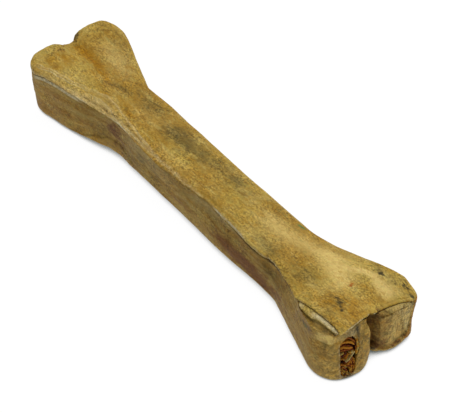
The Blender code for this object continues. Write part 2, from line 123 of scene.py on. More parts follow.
# The seam's edge along the shaft: place along the bone, and how far the sheet strays outwards.
SEAM_WANDER = (
    (-66.0, 0.0), (-58.0, 0.3), (-49.0, -0.5), (-34.0, 0.6), (-22.0, 1.2), (-9.0, 0.3), (4.0, -0.9),
    (10.0, -1.7), (17.0, -1.5), (28.0, -1.2), (38.0, -0.4), (46.0, -0.4), (52.0, -1.4), (60.0, -1.3),
    (66.0, -1.4), (71.0, -1.1), (75.5, -0.8), (79.5, 0.0),
)

# The top sheet is cut straight along the near left knuckle and leaves the wall's rim bare.
SIDE_CUT = (
    (75.5, 16.75), (77.5, 16.5), (79.5, 16.0), (81.4, 15.8), (84.4, 15.75), (88.5, 15.7), (91.4, 15.4),
    (96.7, 15.2), (98.9, 15.15), (101.3, 15.5), (103.4, 16.4),
)
CUT_CORNER_ANGLE = math.radians(38.0)
# Where the sheet ends across both near knuckles and the cleft: place across, and place along.
END_CUT = (
    (-16.9, 103.4), (-13.6, 103.2), (-10.9, 102.8), (-8.1, 102.3), (-4.9, 101.6), (-1.9, 101.1),
    (-0.6, 100.4), (0.3, 100.3), (1.5, 100.9), (3.9, 100.9), (6.6, 101.5), (10.1, 102.4), (14.0, 103.3),
    (17.0, 104.1), (19.0, 105.0),
)

# How far the wall's rim lies below the sheet's top: by place along the bone for the near left
# knuckle's long side, everywhere else, and by place across that knuckle's end.
RIM_DROP_ALONG = (
    (70.0, 1.7), (79.7, 1.5), (85.0, 2.1), (89.6, 2.4), (94.0, 1.6), (98.0, 1.3), (102.0, 1.6),
)
RIM_DROP = 1.75
RIM_DROP_ACROSS = ((-19.0, 1.6), (-16.5, 1.5), (-12.0, 0.9), (-6.0, 1.0), (-1.0, 1.6))

# The strip of hide lapped over the far left of the top: its inner line, and its height.
LAP_LINE = (
    (-101.0, -19.5), (-94.8, -17.7), (-87.0, -14.8), (-81.3, -12.9), (-73.2, -9.5), (-69.4, -7.2),
    (-64.3, -5.2), (-58.8, -5.1), (-50.9, -6.4), (-44.9, -7.3), (-34.2, -8.5), (-22.1, -9.6),
)
LAP_HEIGHT = 0.5
LAP_FADES = (-99.0, -94.0, -40.0, -18.0)

# The underside's edge laps up the far left wall: place along the bone, and height.
UNDER_LAP = (
    (-82.0, 1.2), (-71.0, 3.0), (-62.0, 6.6), (-55.0, 8.9), (-49.0, 9.1), (-43.0, 7.0), (-36.0, 3.0),
)

# The near right knuckle's end is tucked in behind the wrapped side: the frame's edges.
TUCK_DEPTH = 1.1
TUCK_RIM = (
    (3.0, 14.3), (4.4, 15.4), (6.0, 16.8), (9.3, 17.7), (14.1, 18.2), (19.9, 18.1), (24.0, 17.7),
)
TUCK_FLOOR = ((-3.6, 10.4), (-2.3, 8.9), (0.9, 5.7), (4.1, 4.0), (9.9, 3.3), (15.3, 3.7), (17.4, 4.1))
TUCK_FLAP = (
    (0.5, 24.4), (4.2, 23.4), (8.2, 22.0), (11.0, 19.0), (13.1, 15.0), (13.9, 12.3), (14.6, 8.6),
    (15.6, 6.0), (17.0, 4.0),
)
TUCK_FLAP_HEIGHT = 0.45
# How far the near left knuckle's inner flank swells into the cleft, by share of the way down.
FLANK_SWELL = ((0.0, 0.0), (0.10, 1.5), (0.25, 2.3), (0.45, 1.6), (0.75, 0.7), (1.0, 0.2))
# The near right knuckle's foot is rounder than the rest of the underside.
FOOT_ROUND = dict(start=95.0, over=7.0)
FOOT_ROUND_ACROSS = (
    (0.5, 0.0), (3.0, 3.4), (6.0, 2.6), (10.0, 1.0), (13.0, 0.8), (16.0, 1.8), (19.0, 1.6), (23.0, 0.6),
)

# The slot in the near left knuckle, as points (y, z) round its mouth, and the channel behind it.
SLOT_OUTLINE = (
    (-15.3, 19.0), (-16.2, 17.4), (-16.6, 15.3), (-16.8, 12.9), (-16.9, 10.9), (-17.1, 8.8),
    (-17.1, 7.0), (-17.0, 5.2), (-16.6, 3.3), (-15.4, 2.3), (-13.7, 2.2), (-11.9, 2.9), (-11.0, 4.6),
    (-10.7, 6.7), (-10.4, 8.6), (-9.9, 10.2), (-8.9, 11.4), (-8.2, 12.8), (-7.9, 14.4), (-7.8, 16.0),
    (-8.1, 17.4), (-9.2, 18.9), (-10.5, 19.9), (-11.5, 20.4), (-12.7, 20.5), (-14.0, 20.0),
)
SLOT_CENTRE = (-13.2, 11.9)
SLOT_WIDTH = 7.8
SLOT_HEIGHT = 19.2
CHANNEL = (
    # place along the bone, centre aside, centre height, width, height
    (-87.0, 0.0, MID_HEIGHT, 22.0, 16.0),
    (-74.0, 0.0, MID_HEIGHT, 21.0, 14.2),
    (-58.0, 0.0, MID_HEIGHT, 16.0, 12.4),
    (-20.0, 0.0, MID_HEIGHT, 15.4, 12.0),
    (20.0, 0.0, MID_HEIGHT, 15.4, 12.0),
    (58.0, 0.0, MID_HEIGHT, 16.0, 12.4),
    (72.0, -2.6, MID_HEIGHT, 18.0, 14.2),
    (84.0, -7.4, MID_HEIGHT, 16.0, 16.6),
    (94.0, -11.5, 11.9, 11.4, 18.2),
    (98.0, -12.7, 11.9, 9.2, 18.8),
)
CHANNEL_SQUARE = 3.2
SLOT_INNER_END = 100.2
CORE_GAP = 0.3
SECTION_POINTS = 96
# Where the cutter's sections of the slot stand along the bone, and how torn each is.
SLOT_RINGS = ((SLOT_INNER_END, 0.1), (102.0, 0.2), (108.0, 0.3))

# How far out the end wall leans past the knuckle's plan, by height.
MOUTH_LEAN = ((1.8, 1.4), (4.8, 1.4), (9.9, 1.1), (15.8, 0.0), (21.6, -1.7))

# The plies that show in the slot: thickness, tone (0 darkest, 1 pale; the thin, deep plies of near-black tone
# are painted shade of the gaps between plies), how far behind the mouth, and the line (y, z) that each
# follows.
PLIES = (
    (0.8, 0.42, 0.5, (
        (-15.4, 17.7), (-14.4, 18.9), (-13.4, 19.4), (-12.3, 19.4), (-11.2, 18.7), (-10.1, 17.4),
        (-9.3, 16.1))),
    (0.45, 0.12, 0.8, (
        (-15.7, 18.2), (-14.5, 19.5), (-13.0, 20.1), (-11.7, 19.9), (-10.6, 19.2), (-9.7, 18.2))),
    (0.45, 1.0, 0.0, ((-9.9, 19.5), (-9.3, 18.9), (-8.8, 18.0), (-8.5, 17.3))),
    (0.9, 0.6, 0.35, (
        (-16.0, 17.0), (-15.4, 17.6), (-14.6, 18.1), (-13.4, 18.0), (-12.1, 17.5), (-10.7, 16.6),
        (-9.9, 15.5))),
    (0.5, 0.24, 0.7, (
        (-15.6, 16.3), (-14.2, 16.7), (-13.2, 16.5), (-12.2, 15.9), (-11.3, 15.1), (-10.4, 14.2))),
    (0.9, 0.62, 0.35, (
        (-16.3, 15.2), (-15.5, 15.9), (-14.7, 16.1), (-13.6, 15.6), (-12.2, 15.0), (-11.0, 14.6))),
    (0.5, 0.1, 0.8, ((-8.9, 16.6), (-8.9, 15.1), (-8.9, 14.0), (-9.3, 13.1), (-9.9, 12.6))),
    (0.7, 0.3, 0.5, (
        (-16.5, 14.3), (-15.3, 14.8), (-14.3, 14.7), (-13.1, 14.4), (-11.9, 14.1), (-10.6, 13.7))),
    (0.3, 0.92, 0.25, ((-12.6, 13.1), (-12.0, 12.9), (-11.4, 12.9), (-11.0, 13.2))),
    (0.45, 0.74, 0.45, ((-13.2, 12.5), (-12.2, 12.3), (-11.2, 12.5), (-10.6, 12.9))),
    (0.34, 1.0, 0.1, ((-14.6, 9.4), (-13.6, 10.0), (-12.5, 10.9), (-11.5, 11.8), (-10.3, 12.5))),
    (0.55, 0.2, 0.6, ((-16.5, 12.2), (-15.5, 12.1), (-14.6, 12.3), (-13.9, 13.0), (-13.9, 13.9))),
    (0.6, 0.86, 0.5, ((-16.2, 13.0), (-15.3, 13.3), (-14.7, 13.7))),
    (0.6, 0.56, 0.55, ((-14.3, 10.4), (-13.9, 11.2), (-13.4, 11.9), (-12.9, 12.7))),
    (0.5, 0.3, 0.4, ((-15.0, 8.7), (-14.4, 9.0), (-13.6, 9.2), (-12.6, 9.7), (-11.7, 10.6))),
    (0.8, 0.55, 0.5, (
        (-15.3, 6.2), (-14.5, 7.1), (-13.7, 7.9), (-13.0, 8.7), (-12.3, 9.5), (-11.4, 10.6))),
    (0.6, 0.66, 0.45, ((-12.6, 9.2), (-13.2, 8.2), (-13.5, 7.0))),
    (0.45, 0.7, 0.4, ((-13.9, 6.6), (-13.1, 6.0), (-12.7, 5.2), (-12.9, 4.4))),
    (0.45, 0.22, 0.25, ((-14.6, 7.6), (-13.6, 7.2), (-12.8, 6.9), (-12.2, 7.3))),
    (0.9, 0.3, 0.8, ((-11.3, 10.2), (-11.1, 8.8), (-11.1, 6.7), (-11.3, 5.0), (-11.7, 3.4))),
    (0.6, 0.52, 0.6, ((-12.2, 8.8), (-12.1, 7.0), (-12.2, 5.2), (-12.2, 3.8))),
    (0.6, 0.62, 0.4, ((-16.8, 7.7), (-15.8, 8.2), (-14.8, 7.7), (-14.3, 6.8))),
    (0.6, 0.3, 0.5, ((-16.8, 6.5), (-15.7, 6.8), (-15.0, 6.2), (-14.3, 4.9), (-14.0, 3.9))),
    (0.5, 0.12, 0.9, ((-16.8, 9.5), (-16.0, 9.2), (-15.2, 9.0))),
    (0.55, 0.6, 0.7, ((-16.8, 10.8), (-16.0, 10.6), (-15.2, 10.7), (-14.9, 10.0))),
    (0.7, 0.84, 0.5, ((-16.6, 5.0), (-15.8, 5.3), (-15.2, 4.6), (-15.3, 3.6))),
    (0.95, 0.8, 0.05, (
        (-8.6, 18.1), (-8.4, 16.7), (-8.4, 15.0), (-8.7, 13.5), (-9.3, 12.3), (-10.0, 11.4))),
    (0.5, 0.64, 0.35, ((-10.9, 9.6), (-11.0, 8.0), (-11.1, 6.0), (-11.4, 4.4))),
)
PLY_DEPTH = 4.2
PLY_END_SHARE = 0.45
PLY_STEP = 0.25
PLY_UNEVENNESS = 0.48
# The core's front lies this far behind the mouth, in rings, and in one dark tone, painted shade of the slot's
# depth behind the plies.
CORE_RECESS = 2.3
CORE_FRONT_RINGS = 12
CORE_TONE = 0.24
# The crumbs' radius, how many there are to a square metre, and the seed of their draws. They lie
# just behind the mouth, on these patches of it: low y and z, high y and z.
CRUMB_SIZE = 0.32
CRUMB_DENSITY = 5.0e6
CRUMB_SEED = 7
CRUMB_RECESS = 0.6
CRUMB_PATCHES = (
    (-17.0, 2.4, -15.0, 4.6), (-15.0, 2.3, -12.2, 3.6), (-14.8, 3.6, -13.8, 4.6),
    (-11.6, 19.3, -9.4, 19.9), (-16.6, 4.8, -15.4, 6.4), (-13.2, 3.8, -12.0, 5.8),
    (-11.6, 6.0, -10.9, 8.6), (-15.6, 6.6, -14.2, 7.6), (-9.4, 12.6, -8.4, 14.4),
)

# The section through the seam, from the sheet's edge to the wall, for a closed seam and for the
# open rim of the cut: share of the way to the wall, how far in, and how far below the sheet's top.
SEAM_SECTION = (
    # closed: share, in, down      open: share, in, down
    ((0.0, 1.50, 0.00), (0.00, 1.50, 0.00)),
    ((0.0, 0.80, 0.03), (0.00, 0.70, 0.00)),
    ((0.0, 0.38, 0.10), (0.00, 0.28, 0.04)),
    ((0.0, 0.12, 0.25), (0.00, 0.08, 0.16)),
    ((0.0, 0.00, 0.50), (0.00, 0.00, 0.40)),
    ((0.0, 0.03, 0.80), (0.00, 0.02, 0.62)),
    ((0.0, 0.20, 1.02), (0.00, 0.16, 0.80)),
    ((0.0, 0.70, 1.10), (0.00, 0.34, 0.86)),
    ((0.0, 1.10, 1.22), (0.00, 0.34, 0.98)),
    ((0.0, 1.15, 1.36), (0.02, 0.00, 0.94)),
    ((0.0, 1.15, 1.46), (0.11, 0.00, 0.98)),
    ((0.0, 1.10, 1.54), (0.21, 0.00, 1.10)),
    ((0.0, 1.00, 1.60), (0.28, 0.00, 1.30)),
    ((0.1, 0.90, 1.64), (0.31, 0.00, 1.62)),
    ((0.3, 0.80, 1.66), (0.38, 0.00, 2.05)),
    ((0.6, 0.70, 1.66), (0.52, 0.00, 2.30)),
    ((0.8, 0.60, 1.66), (0.70, 0.00, 2.20)),
    ((1.0, 0.55, 1.68), (0.84, 0.00, 1.80)),
    ((1.0, 0.34, 1.76), (0.92, 0.00, 1.66)),
    ((1.0, 0.16, 1.94), (1.00, 0.20, 1.90)),
    ((1.0, 0.05, 2.30), (1.00, 0.05, 2.55)),
    ((1.0, 0.00, 2.90), (1.00, 0.00, 3.30)),
)
PLY_UNDERSIDE = 1.1
CREVICE_FLOOR = 1.66

# How open the closed seam's crevice is along the left side, as a share of its section's, and how
# far the sheet's edge hangs down over the far left corner.
SEAM_GAP = (
    (-104.0, 0.6), (-97.0, 1.0), (-89.0, 0.9), (-82.0, 0.3), (-60.0, 0.1), (-40.0, 0.05), (-22.0, 0.05),
    (-8.0, 0.1), (4.0, 0.25), (12.0, 0.8), (24.0, 0.8), (36.0, 0.7), (44.0, 0.6), (51.0, 0.9),
    (56.0, 0.5), (60.0, 0.9), (64.0, 0.5), (74.0, 0.3),
)
EDGE_HANGS = (
    (-106.0, 3.4), (-97.5, 2.2), (-89.0, 0.2), (-84.0, 0.0), (8.0, 0.0), (16.0, 0.6), (42.0, 0.6),
    (56.0, 0.0),
)
FOLD_RADIUS = 2.4
UNDER_RADIUS = 1.8
OPEN_AT = 1.3
# How much of the bare ply shows below the cut, by place along the bone.
PLY_WIDTH = (
    (76.0, 0.7), (81.0, 1.5), (84.0, 1.8), (87.0, 2.0), (91.0, 2.0), (95.0, 2.2), (98.5, 1.9),
    (101.3, 0.9), (103.0, 0.5),
)
TOP_RINGS = 17
WALL_RINGS = 30
UNDER_TURN_RINGS = 6
UNDER_RINGS = 5
WALL_BULGE = 0.4
TOP_SPACING = 0.85
# The stray of the sheet's edge fades out this far down the wall.
STRAY_FADES = 0.55
# Along a knuckle's turn, where the seam begins to show on the folded right side, and is all there.
SEAM_BEGINS = 0.3
SEAM_FULL = 0.85
# The sheet's edge: how far it stands out, how thick it is, and how its tears, its thickness and
# the crevice behind it vary, as height, period in mm and seed.
EDGE_OUT = 0.25
EDGE_THICK = 0.85
EDGE_TEARS = ((0.22, 5.0, 1), (0.12, 1.6, 2))
EDGE_THICKENS = ((0.2, 9.0, 3),)
GAP_VARIES = ((0.9, 11.0, 4),)
GAPE_RANGE = (0.45, 1.6)
DEEP_SEAM = dict(down=1.05, inside=0.6)
# The crevice's width away from the left side, and where the cut and the end begin along the bone.
OTHER_GAP = 0.5
FOLD_OPENS_AT = 70.0
END_FROM = 101.0
# Where the bare ply ends in the open section, and the least and most that it may take of it.
PLY_SHARE = 0.31
PLY_SHARES = (0.2, 0.82)
# Where the near left knuckle's inner flank swells, along and across: start, and over how far.
FLANK_ALONG = (98.0, 3.0)
FLANK_ACROSS = (-7.5, 5.0)

# Zones of the seam's section, from 0 at the top to 1 at the wall.
TOP_ENDS = 0.16
WALL_BEGINS = 0.85
SEAM_ZONES = {
    "notch": (0.05, 0.30), "lip": (0.12, 0.30), "torn edge": (0.12, 0.34), "calm": (0.15, 0.85),
    "near edge": (0.20, 0.45), "nook": (0.26, 0.38), "crevice": (0.32, 0.80), "bare ply": (0.38, 0.58),
    "shade": (0.58, 0.84), "slit": (0.60, 0.68), "line below": (0.80, 0.97),
}
# Unevenness from the press and the drying, then small puckers, and the walls' streaks where the
# sheet is drawn tight: height in mm, period in mm along each axis, and seed.
SKIN_WAVES = ((0.26, (24.0, 13.0, 13.0), 5), (0.10, (7.0, 5.0, 5.0), 6), (0.035, (2.2, 1.6, 1.6), 7))
WALL_STREAKS = ((1.0, (26.0, 26.0, 1.5), 8), (0.6, (11.0, 11.0, 0.7), 9))
# The wrinkles that fan over the near right lobe, and the shallow one that runs round it.
LOBE_FAN = dict(centre=(78.0, 4.0), height=0.06, spread=60.0, period=(1.7, 16.0, 90.0))
LOBE_BAND = dict(x=80.0, stretch=1.25, radius=8.0)
UNDER_LAP_HEIGHT = 0.45

# Marks are soft ovals: place along and aside, size along and aside, turn in degrees, strength.
# These are on the top, by the mask that each adds to.
TOP_MARKS = {
    "soot": (
        (89.7, -6.3, 1.8, 1.0, 0, 1.1), (87.2, -5.4, 2.4, 0.7, 15, 0.8),
        (90.8, -5.2, 1.0, 0.6, 40, 0.8), (93.8, -8.0, 1.1, 0.9, 50, 1.2),
        (88.4, -4.6, 2.6, 0.5, 30, 0.5), (90.0, -3.2, 0.5, 1.6, 0, 0.35),
        (88.2, 16.0, 2.4, 0.7, -25, 0.7), (94.9, 16.5, 1.2, 0.6, 0, 0.4),
        (97.9, 18.9, 1.3, 0.7, 10, 1.1), (99.3, 18.8, 0.9, 0.6, 0, 0.9),
        (102.6, 18.3, 1.0, 0.6, -15, 1.2), (103.8, 18.1, 0.7, 0.5, 0, 1.0),
        (84.6, 14.6, 3.0, 0.5, -15, 0.5), (87.8, 15.3, 1.6, 0.8, -10, 0.9),
        (100.4, 15.0, 1.4, 0.4, 30, 0.4), (96.0, 20.0, 1.6, 0.4, -20, 0.5),
        # The next two are painted shade along the far right lobe's inner flank, beside the cleft.
        (-102.5, 4.6, 1.3, 3.0, 25, 0.9), (-99.8, 2.6, 1.0, 2.0, 40, 0.5),
        (92.2, -7.2, 0.9, 0.6, 0, 0.9), (93.4, -6.4, 0.6, 0.6, 0, 0.6), (-93.2, 15.4, 1.0, 0.5, 0, 0.5),
        (-90.5, 13.2, 0.6, 0.4, 0, 0.5), (-28.8, 3.6, 1.2, 0.5, 30, 0.5),
        (-33.5, 4.6, 1.4, 0.4, 0, 0.5), (-19.0, 0.4, 1.6, 0.4, 20, 0.4), (-99.3, 8.2, 0.7, 0.5, 0, 0.6),
        (-98.3, 14.3, 0.8, 0.5, 0, 0.6), (28.0, 4.2, 1.8, 0.35, 10, 0.5),
        (66.0, 11.5, 2.0, 0.35, 20, 0.5), (-30.5, 1.2, 3.0, 0.6, 25, 0.55),
        (-27.0, -0.4, 2.0, 0.5, 10, 0.4), (-22.0, 2.0, 3.0, 0.5, 30, 0.4),
        (-99.2, -6.0, 1.6, 2.0, 10, 0.55), (-98.0, -4.6, 0.9, 0.9, 0, 0.4),
    ),
    "olive": (
        (-50.5, 4.0, 5.0, 2.4, 0, 0.3), (-66.0, 1.2, 4.0, 1.6, 10, 0.3),
        (-31.5, 2.6, 6.0, 3.6, 10, 0.75), (-24.0, 3.4, 8.0, 4.6, 0, 0.85),
        (-14.0, 4.2, 8.0, 4.0, 0, 0.6), (-3.0, 5.8, 9.0, 3.4, 0, 0.5), (10.0, 6.0, 10.0, 3.2, 0, 0.42),
        (12.0, 2.5, 8.0, 3.0, 0, 0.22), (-65.3, 2.0, 6.0, 1.8, 20, 0.55),
        (46.5, -7.4, 6.0, 2.4, 0, 0.75), (68.5, -6.0, 7.0, 4.4, 10, 0.62),
        (-82.0, 13.5, 8.0, 4.0, 0, 0.3), (84.0, 17.0, 5.0, 2.6, -15, 0.5),
        (96.0, 16.0, 6.0, 4.0, 0, 0.42), (-47.0, 5.5, 7.0, 4.0, 0, 0.5),
        (88.0, -9.5, 9.0, 6.0, 20, 0.3), (-91.0, 16.0, 8.0, 5.0, 0, 0.3),
        (-99.0, -7.0, 4.0, 6.0, 0, 0.3), (30.0, 8.0, 12.0, 3.0, 0, 0.3),
        (60.0, -12.0, 8.0, 2.0, -12, 0.3), (-56.0, 7.5, 10.0, 3.0, 0, 0.4),
    ),
    "orange": (
        (-84.0, 1.4, 12.0, 2.2, -4, 0.7), (-94.0, 1.0, 7.0, 3.2, 0, 0.5),
        (-93.0, -9.0, 7.0, 6.0, 0, 0.4), (-70.0, -0.6, 7.0, 2.2, 12, 0.5),
        (83.7, -11.6, 7.0, 4.4, 0, 0.5), (95.5, 3.8, 4.0, 2.2, 30, 0.55),
        (92.0, -3.0, 9.0, 6.0, 0, 0.65), (-45.0, -5.0, 7.0, 1.2, 8, 0.3), (3.0, 6.7, 6.0, 1.6, 0, 0.3),
        (28.7, 8.2, 8.0, 1.6, 0, 0.4), (100.0, -9.0, 4.0, 6.0, 0, 0.35),
        (-57.0, -4.0, 8.0, 1.2, -5, 0.3), (88.0, 6.6, 6.0, 1.4, 20, 0.4),
    ),
    "rust": (
        (84.8, 3.5, 1.1, 0.65, 111, 1.4), (-99.4, -6.8, 2.6, 3.2, 10, 0.32),
        (-97.4, -4.6, 1.4, 1.4, 10, 0.2), (-84.3, 1.6, 4.0, 0.7, -10, 0.2),
    ),
    # Pale patches; the narrow ones along the near right lobe's crown, from about (78, 9) to (98, 12), are a
    # painted highlight.
    "pale": (
        (67.0, 9.0, 10.0, 3.6, 12, 0.75), (52.0, 4.6, 9.0, 4.5, 8, 0.42),
        (78.2, 9.4, 6.0, 1.6, 30, 0.7), (35.5, 2.0, 9.0, 5.0, 0, 0.42), (98.4, 12.0, 3.0, 4.5, 0, 0.4),
        (84.7, 12.6, 5.0, 1.6, 20, 0.9), (91.5, 11.6, 5.0, 2.0, -10, 0.8),
        (-45.0, 0.0, 10.0, 4.0, 0, 0.22), (74.0, 4.0, 10.0, 4.0, 0, 0.7),
        (-18.0, -6.5, 12.0, 2.6, 0, 0.25), (-84.0, 10.0, 9.0, 5.0, 0, 0.4),
        (-75.0, 8.0, 8.0, 3.0, 0, 0.3), (94.5, 12.0, 4.0, 4.0, 0, 0.6), (43.0, 2.0, 9.0, 5.0, 0, 0.3),
        (82.0, 0.0, 5.0, 7.0, 0, 0.5),
    ),
    "green": (
        (45.2, 10.2, 2.6, 0.7, 10, 0.9),
    ),
}
# Where the seam's rounded lip gets a painted highlight on the top, and the dent on the near flare.
LIP_GLOW = (
    (16.0, -10.5, 5.0, 3.0, 0, 0.9), (30.0, -11.0, 9.0, 3.0, 0, 0.25),
    (-50.0, -11.0, 14.0, 3.0, 0, 0.3),
)
NEAR_DENT = ((46.5, -7.5, 6.5, 2.6, 6, 1.0),)
NEAR_DENT_DEPTH = 0.7
# These are on the left wall, by place along and height.
WALL_MARKS = {
    "red": (
        (23.0, 10.4, 7.0, 2.2, 0, 0.8), (35.0, 9.0, 11.0, 3.4, 0, 1.2), (50.0, 6.5, 11.0, 3.2, 0, 0.8),
        (64.0, 9.0, 9.0, 4.0, 0, 0.4), (-53.0, 14.5, 5.0, 4.6, 25, 0.75),
        (-45.0, 11.0, 7.0, 3.4, 0, 0.3), (-84.0, 12.0, 10.0, 4.0, 0, 0.25),
        (-8.0, 10.0, 10.0, 3.0, 0, 0.25),
    ),
    "grey": (
        (-30.0, 18.0, 26.0, 4.0, 0, 0.9), (12.0, 17.5, 18.0, 3.5, 0, 0.75),
        (-70.0, 16.0, 14.0, 4.0, 0, 0.4), (-92.0, 20.0, 10.0, 3.0, 0, 0.5),
    ),
    "olive": (
        # The first three are painted shade on the near left knuckle's wall under the cut, as if it lay in a
        # recess; the rest darken patches of the wall.
        (84.5, 19.0, 2.5, 0.8, 10, 0.8), (88.5, 19.8, 2.5, 0.8, 20, 0.8),
        (92.0, 21.0, 2.0, 0.8, 25, 0.5), (-57.0, 12.0, 7.0, 3.0, 12, 0.6),
        (-25.0, 12.5, 10.0, 4.0, 0, 0.4), (55.0, 14.0, 9.0, 4.0, 0, 0.5),
        (-40.0, 8.0, 12.0, 3.0, 0, 0.35), (-38.0, 12.0, 12.0, 4.0, 0, 0.3),
        (90.0, 6.0, 9.0, 4.0, 0, 0.25),
    ),
    "green": (
        # Painted shade, in green, along that same place under the cut.
        (87.6, 19.2, 3.0, 0.6, 15, 0.45),
    ),
}
# And these on the near right knuckle's flap, by place aside and height.
FLAP_BROWN = (
    (5.0, 23.4, 1.6, 0.5, 0, 0.9), (9.5, 22.6, 1.6, 0.4, 10, 0.9), (12.6, 21.2, 0.7, 1.4, 0, 0.8),
    (8.0, 21.9, 1.2, 0.4, -20, 0.7), (12.0, 18.4, 0.8, 1.0, 0, 0.6), (3.0, 23.6, 1.2, 0.4, 0, 0.8),
)
# The masks that the hide's points carry for its finish.
HIDE_MASKS = (
    "cream", "pale", "coarse", "upright", "flap", "rim", "strip", "dark", "soot", "olive", "grey",
    "orange", "rust", "green", "red", "wall", "lap_run", "lap_on",
)

# The hide's noise patterns: period in mm, how many times longer they are along each axis, detail,
# roughness and distortion. The real grain is about 0.2 mm, and is drawn coarser so that it shows.
HIDE_PATTERNS = {
    "broad": (30.0, (1.5, 1.0, 1.0), 2.0, 0.55, 0.0),
    "patch": (9.0, (1.7, 1.0, 1.0), 4.0, 0.6, 0.5),
    "blotch": (3.2, (1.6, 1.0, 1.0), 5.0, 0.68, 0.4),
    "tint": (2.1, (1.5, 1.0, 1.0), 3.0, 0.7, 0.5),
    "fleck": (1.2, (1.5, 1.0, 1.0), 4.0, 0.7, 0.3),
    "grain": (0.68, (1.5, 1.0, 1.0), 2.0, 0.6, 0.0),
    "fibre": (1.5, (12.0, 2.2, 1.0), 3.0, 0.6, 0.4),
    "streak": (3.6, (10.0, 3.0, 1.0), 3.0, 0.6, 0.6),
    "upright fibre": (1.3, (1.0, 1.0, 10.0), 3.0, 0.6, 0.3),
    "upright gap": (0.9, (1.0, 1.0, 5.0), 3.0, 0.6, 0.3),
    "rough patch": (5.5, (1.8, 1.0, 1.0), 3.0, 0.6, 0.8),
}
# Bands of a pattern or a mask: the range that is read, and what its ends become if not 0 and 1.
HIDE_BANDS = {
    "warm and cool": ("broad", 0.38, 0.62),
    "high patches": ("patch", 0.50, 0.66, 0.0, 0.45),
    "low patches": ("patch", 0.34, 0.48, 0.45, 0.0),
    "fibres": ("fibre", 0.53, 0.66, 0.0, 0.5),
    "wall streaks": ("streak", 0.40, 0.60),
    "wall fibres": ("fibre", 0.52, 0.66, 0.0, 0.5),
    "wall patches": ("patch", 0.52, 0.68, 0.0, 0.5),
    "wall side": ("wall mask", 0.1, 0.9),
    "high blotches": ("blotch", 0.52, 0.68, 0.0, 0.3),
    "low blotches": ("blotch", 0.34, 0.46, 0.25, 0.0),
    "high tints": ("tint", 0.52, 0.66, 0.0, 0.35),
    "low tints": ("tint", 0.34, 0.48, 0.25, 0.0),
    "upright fibres": ("upright fibre", 0.48, 0.62, 0.0, 0.6),
    "upright gaps": ("upright gap", 0.52, 0.66, 0.0, 0.75),
    "flap blotches": ("blotch", 0.40, 0.60, 0.35, 1.0),
    "strip fibres": ("fibre", 0.35, 0.65, 0.6, 1.0),
    "light lines": ("lines", 0.52, 0.70, 0.0, 0.35),
    "dark lines": ("lines", 0.46, 0.32, 0.0, 0.45),
    "deep": ("dark mask", 0.0, 1.0),
    "dark flecks": ("fleck", 0.60, 0.74, 0.0, 0.35),
    "rough places": ("rough patch", 0.36, 0.64, 0.25, 1.0),
    "not pale": ("pale mask", 0.1, 0.8, 1.0, 0.4),
    "fleck shade": ("fleck", 0.35, 0.65, 0.38, 0.62),
    "tint shade": ("tint", 0.36, 0.64, 0.34, 0.66),
    "grain shade": ("grain", 0.32, 0.68, 0.29, 0.71),
    "roughness": ("patch", 0.3, 0.7, 0.55, 0.70),
}
HIDE_SHADES = ("fleck shade", "tint shade", "grain shade")
# Masks whose edges a pattern breaks up: the pattern, the edge's softness, how far the pattern
# moves it, and the stain's strength.
HIDE_STAINS = {
    "pale": ("patch", 0.5, 0.9, 1.0),
    "grey": ("streak", 0.5, 2.0, 1.0),
    "orange": ("patch", 0.5, 2.0, 1.0),
    "olive": ("speckle", 0.55, 4.2, 0.62),
    "red": ("speckle", 0.5, 3.0, 0.8),
    "rim": ("fleck", 0.5, 1.2, 0.8),
    "cream": ("fleck", 0.5, 0.8, 1.0),
    "green": ("fleck", 0.4, 2.0, 1.0),
    "rust": ("speckle", 0.4, 3.0, 1.0),
    "soot": ("speckle", 0.4, 3.2, 0.85),
}
# The coats, in the order that they are laid: the paint, how it blends, how much of it shows, and
# what limits it further. The top and the walls have coats of their own first.
TOP_COATS = (
    ("yellow", "MIX", "warm and cool"),
    ("golden", "MIX", "high patches"),
    ("straw", "MIX", "low patches"),
    ("straw", "MIX", "fibres"),
)
WALL_COATS = (
    ("wall_tan", "MIX", "wall streaks"),
    ("wall_grey", "MIX", "wall fibres"),
    ("wall_dark", "MIX", "wall patches"),
)
HIDE_COATS = (
    ("wall coat", "MIX", "wall side"),
    ("pale", "MIX", "pale stain"),
    ("wall_grey", "MIX", "grey stain"),
    ("orange", "MIX", "orange stain"),
    ("brown", "MULTIPLY", "high blotches"),
    ("straw", "MIX", "low blotches"),
    ("orange", "MIX", "high tints"),
    ("moss", "MIX", "low tints"),
    ("straw", "MIX", "upright fibres", "upright mask"),
    ("olive", "MIX", "olive stain"),
    ("red", "MIX", "red stain"),
    ("flap", "MIX", "flap blotches", "flap mask"),
    ("brown", "MULTIPLY", "upright gaps", "upright mask"),
    ("rim", "MIX", "rim stain"),
    ("strip", "MIX", "strip fibres", "strip mask"),
    ("cream", "MIX", "cream stain"),
    ("green", "MIX", "green stain"),
    ("rust", "MIX", "rust stain"),
    ("soot", "MIX", "soot stain"),
    ("cream", "MIX", "light lines", "lap_on mask"),
    ("brown", "MULTIPLY", "dark lines", "lap_on mask"),
    # Painted shade, from the dark mask, in the seam's crevices, the clefts, the channel and along folds and
    # edges.
    ("crevice", "MIX", "deep"),
    # Dark flecks of the grain, then its fine light and shade. The sheets of the near end were cut
    # and folded, and are mottled more coarsely, and pale places are smoother.
    ("brown", "MULTIPLY", "dark flecks", "not pale"),
    ("fleck shade", "OVERLAY", 0.4),
    ("tint shade", "OVERLAY", "coarse mask"),
    ("grain shade", "OVERLAY", "rough places", "not pale"),
)
# The lapped strip's lines: how many to a metre along it, and to a centimetre across it.
LINES_ALONG = 28.0
LINES_ASIDE = 9.0
HIDE_IOR = 1.5
# The sockets of a Mix node that mixes colours.
MIX_FACTOR, MIX_UNDER, MIX_OVER, MIX_RESULT = 0, 6, 7, 2
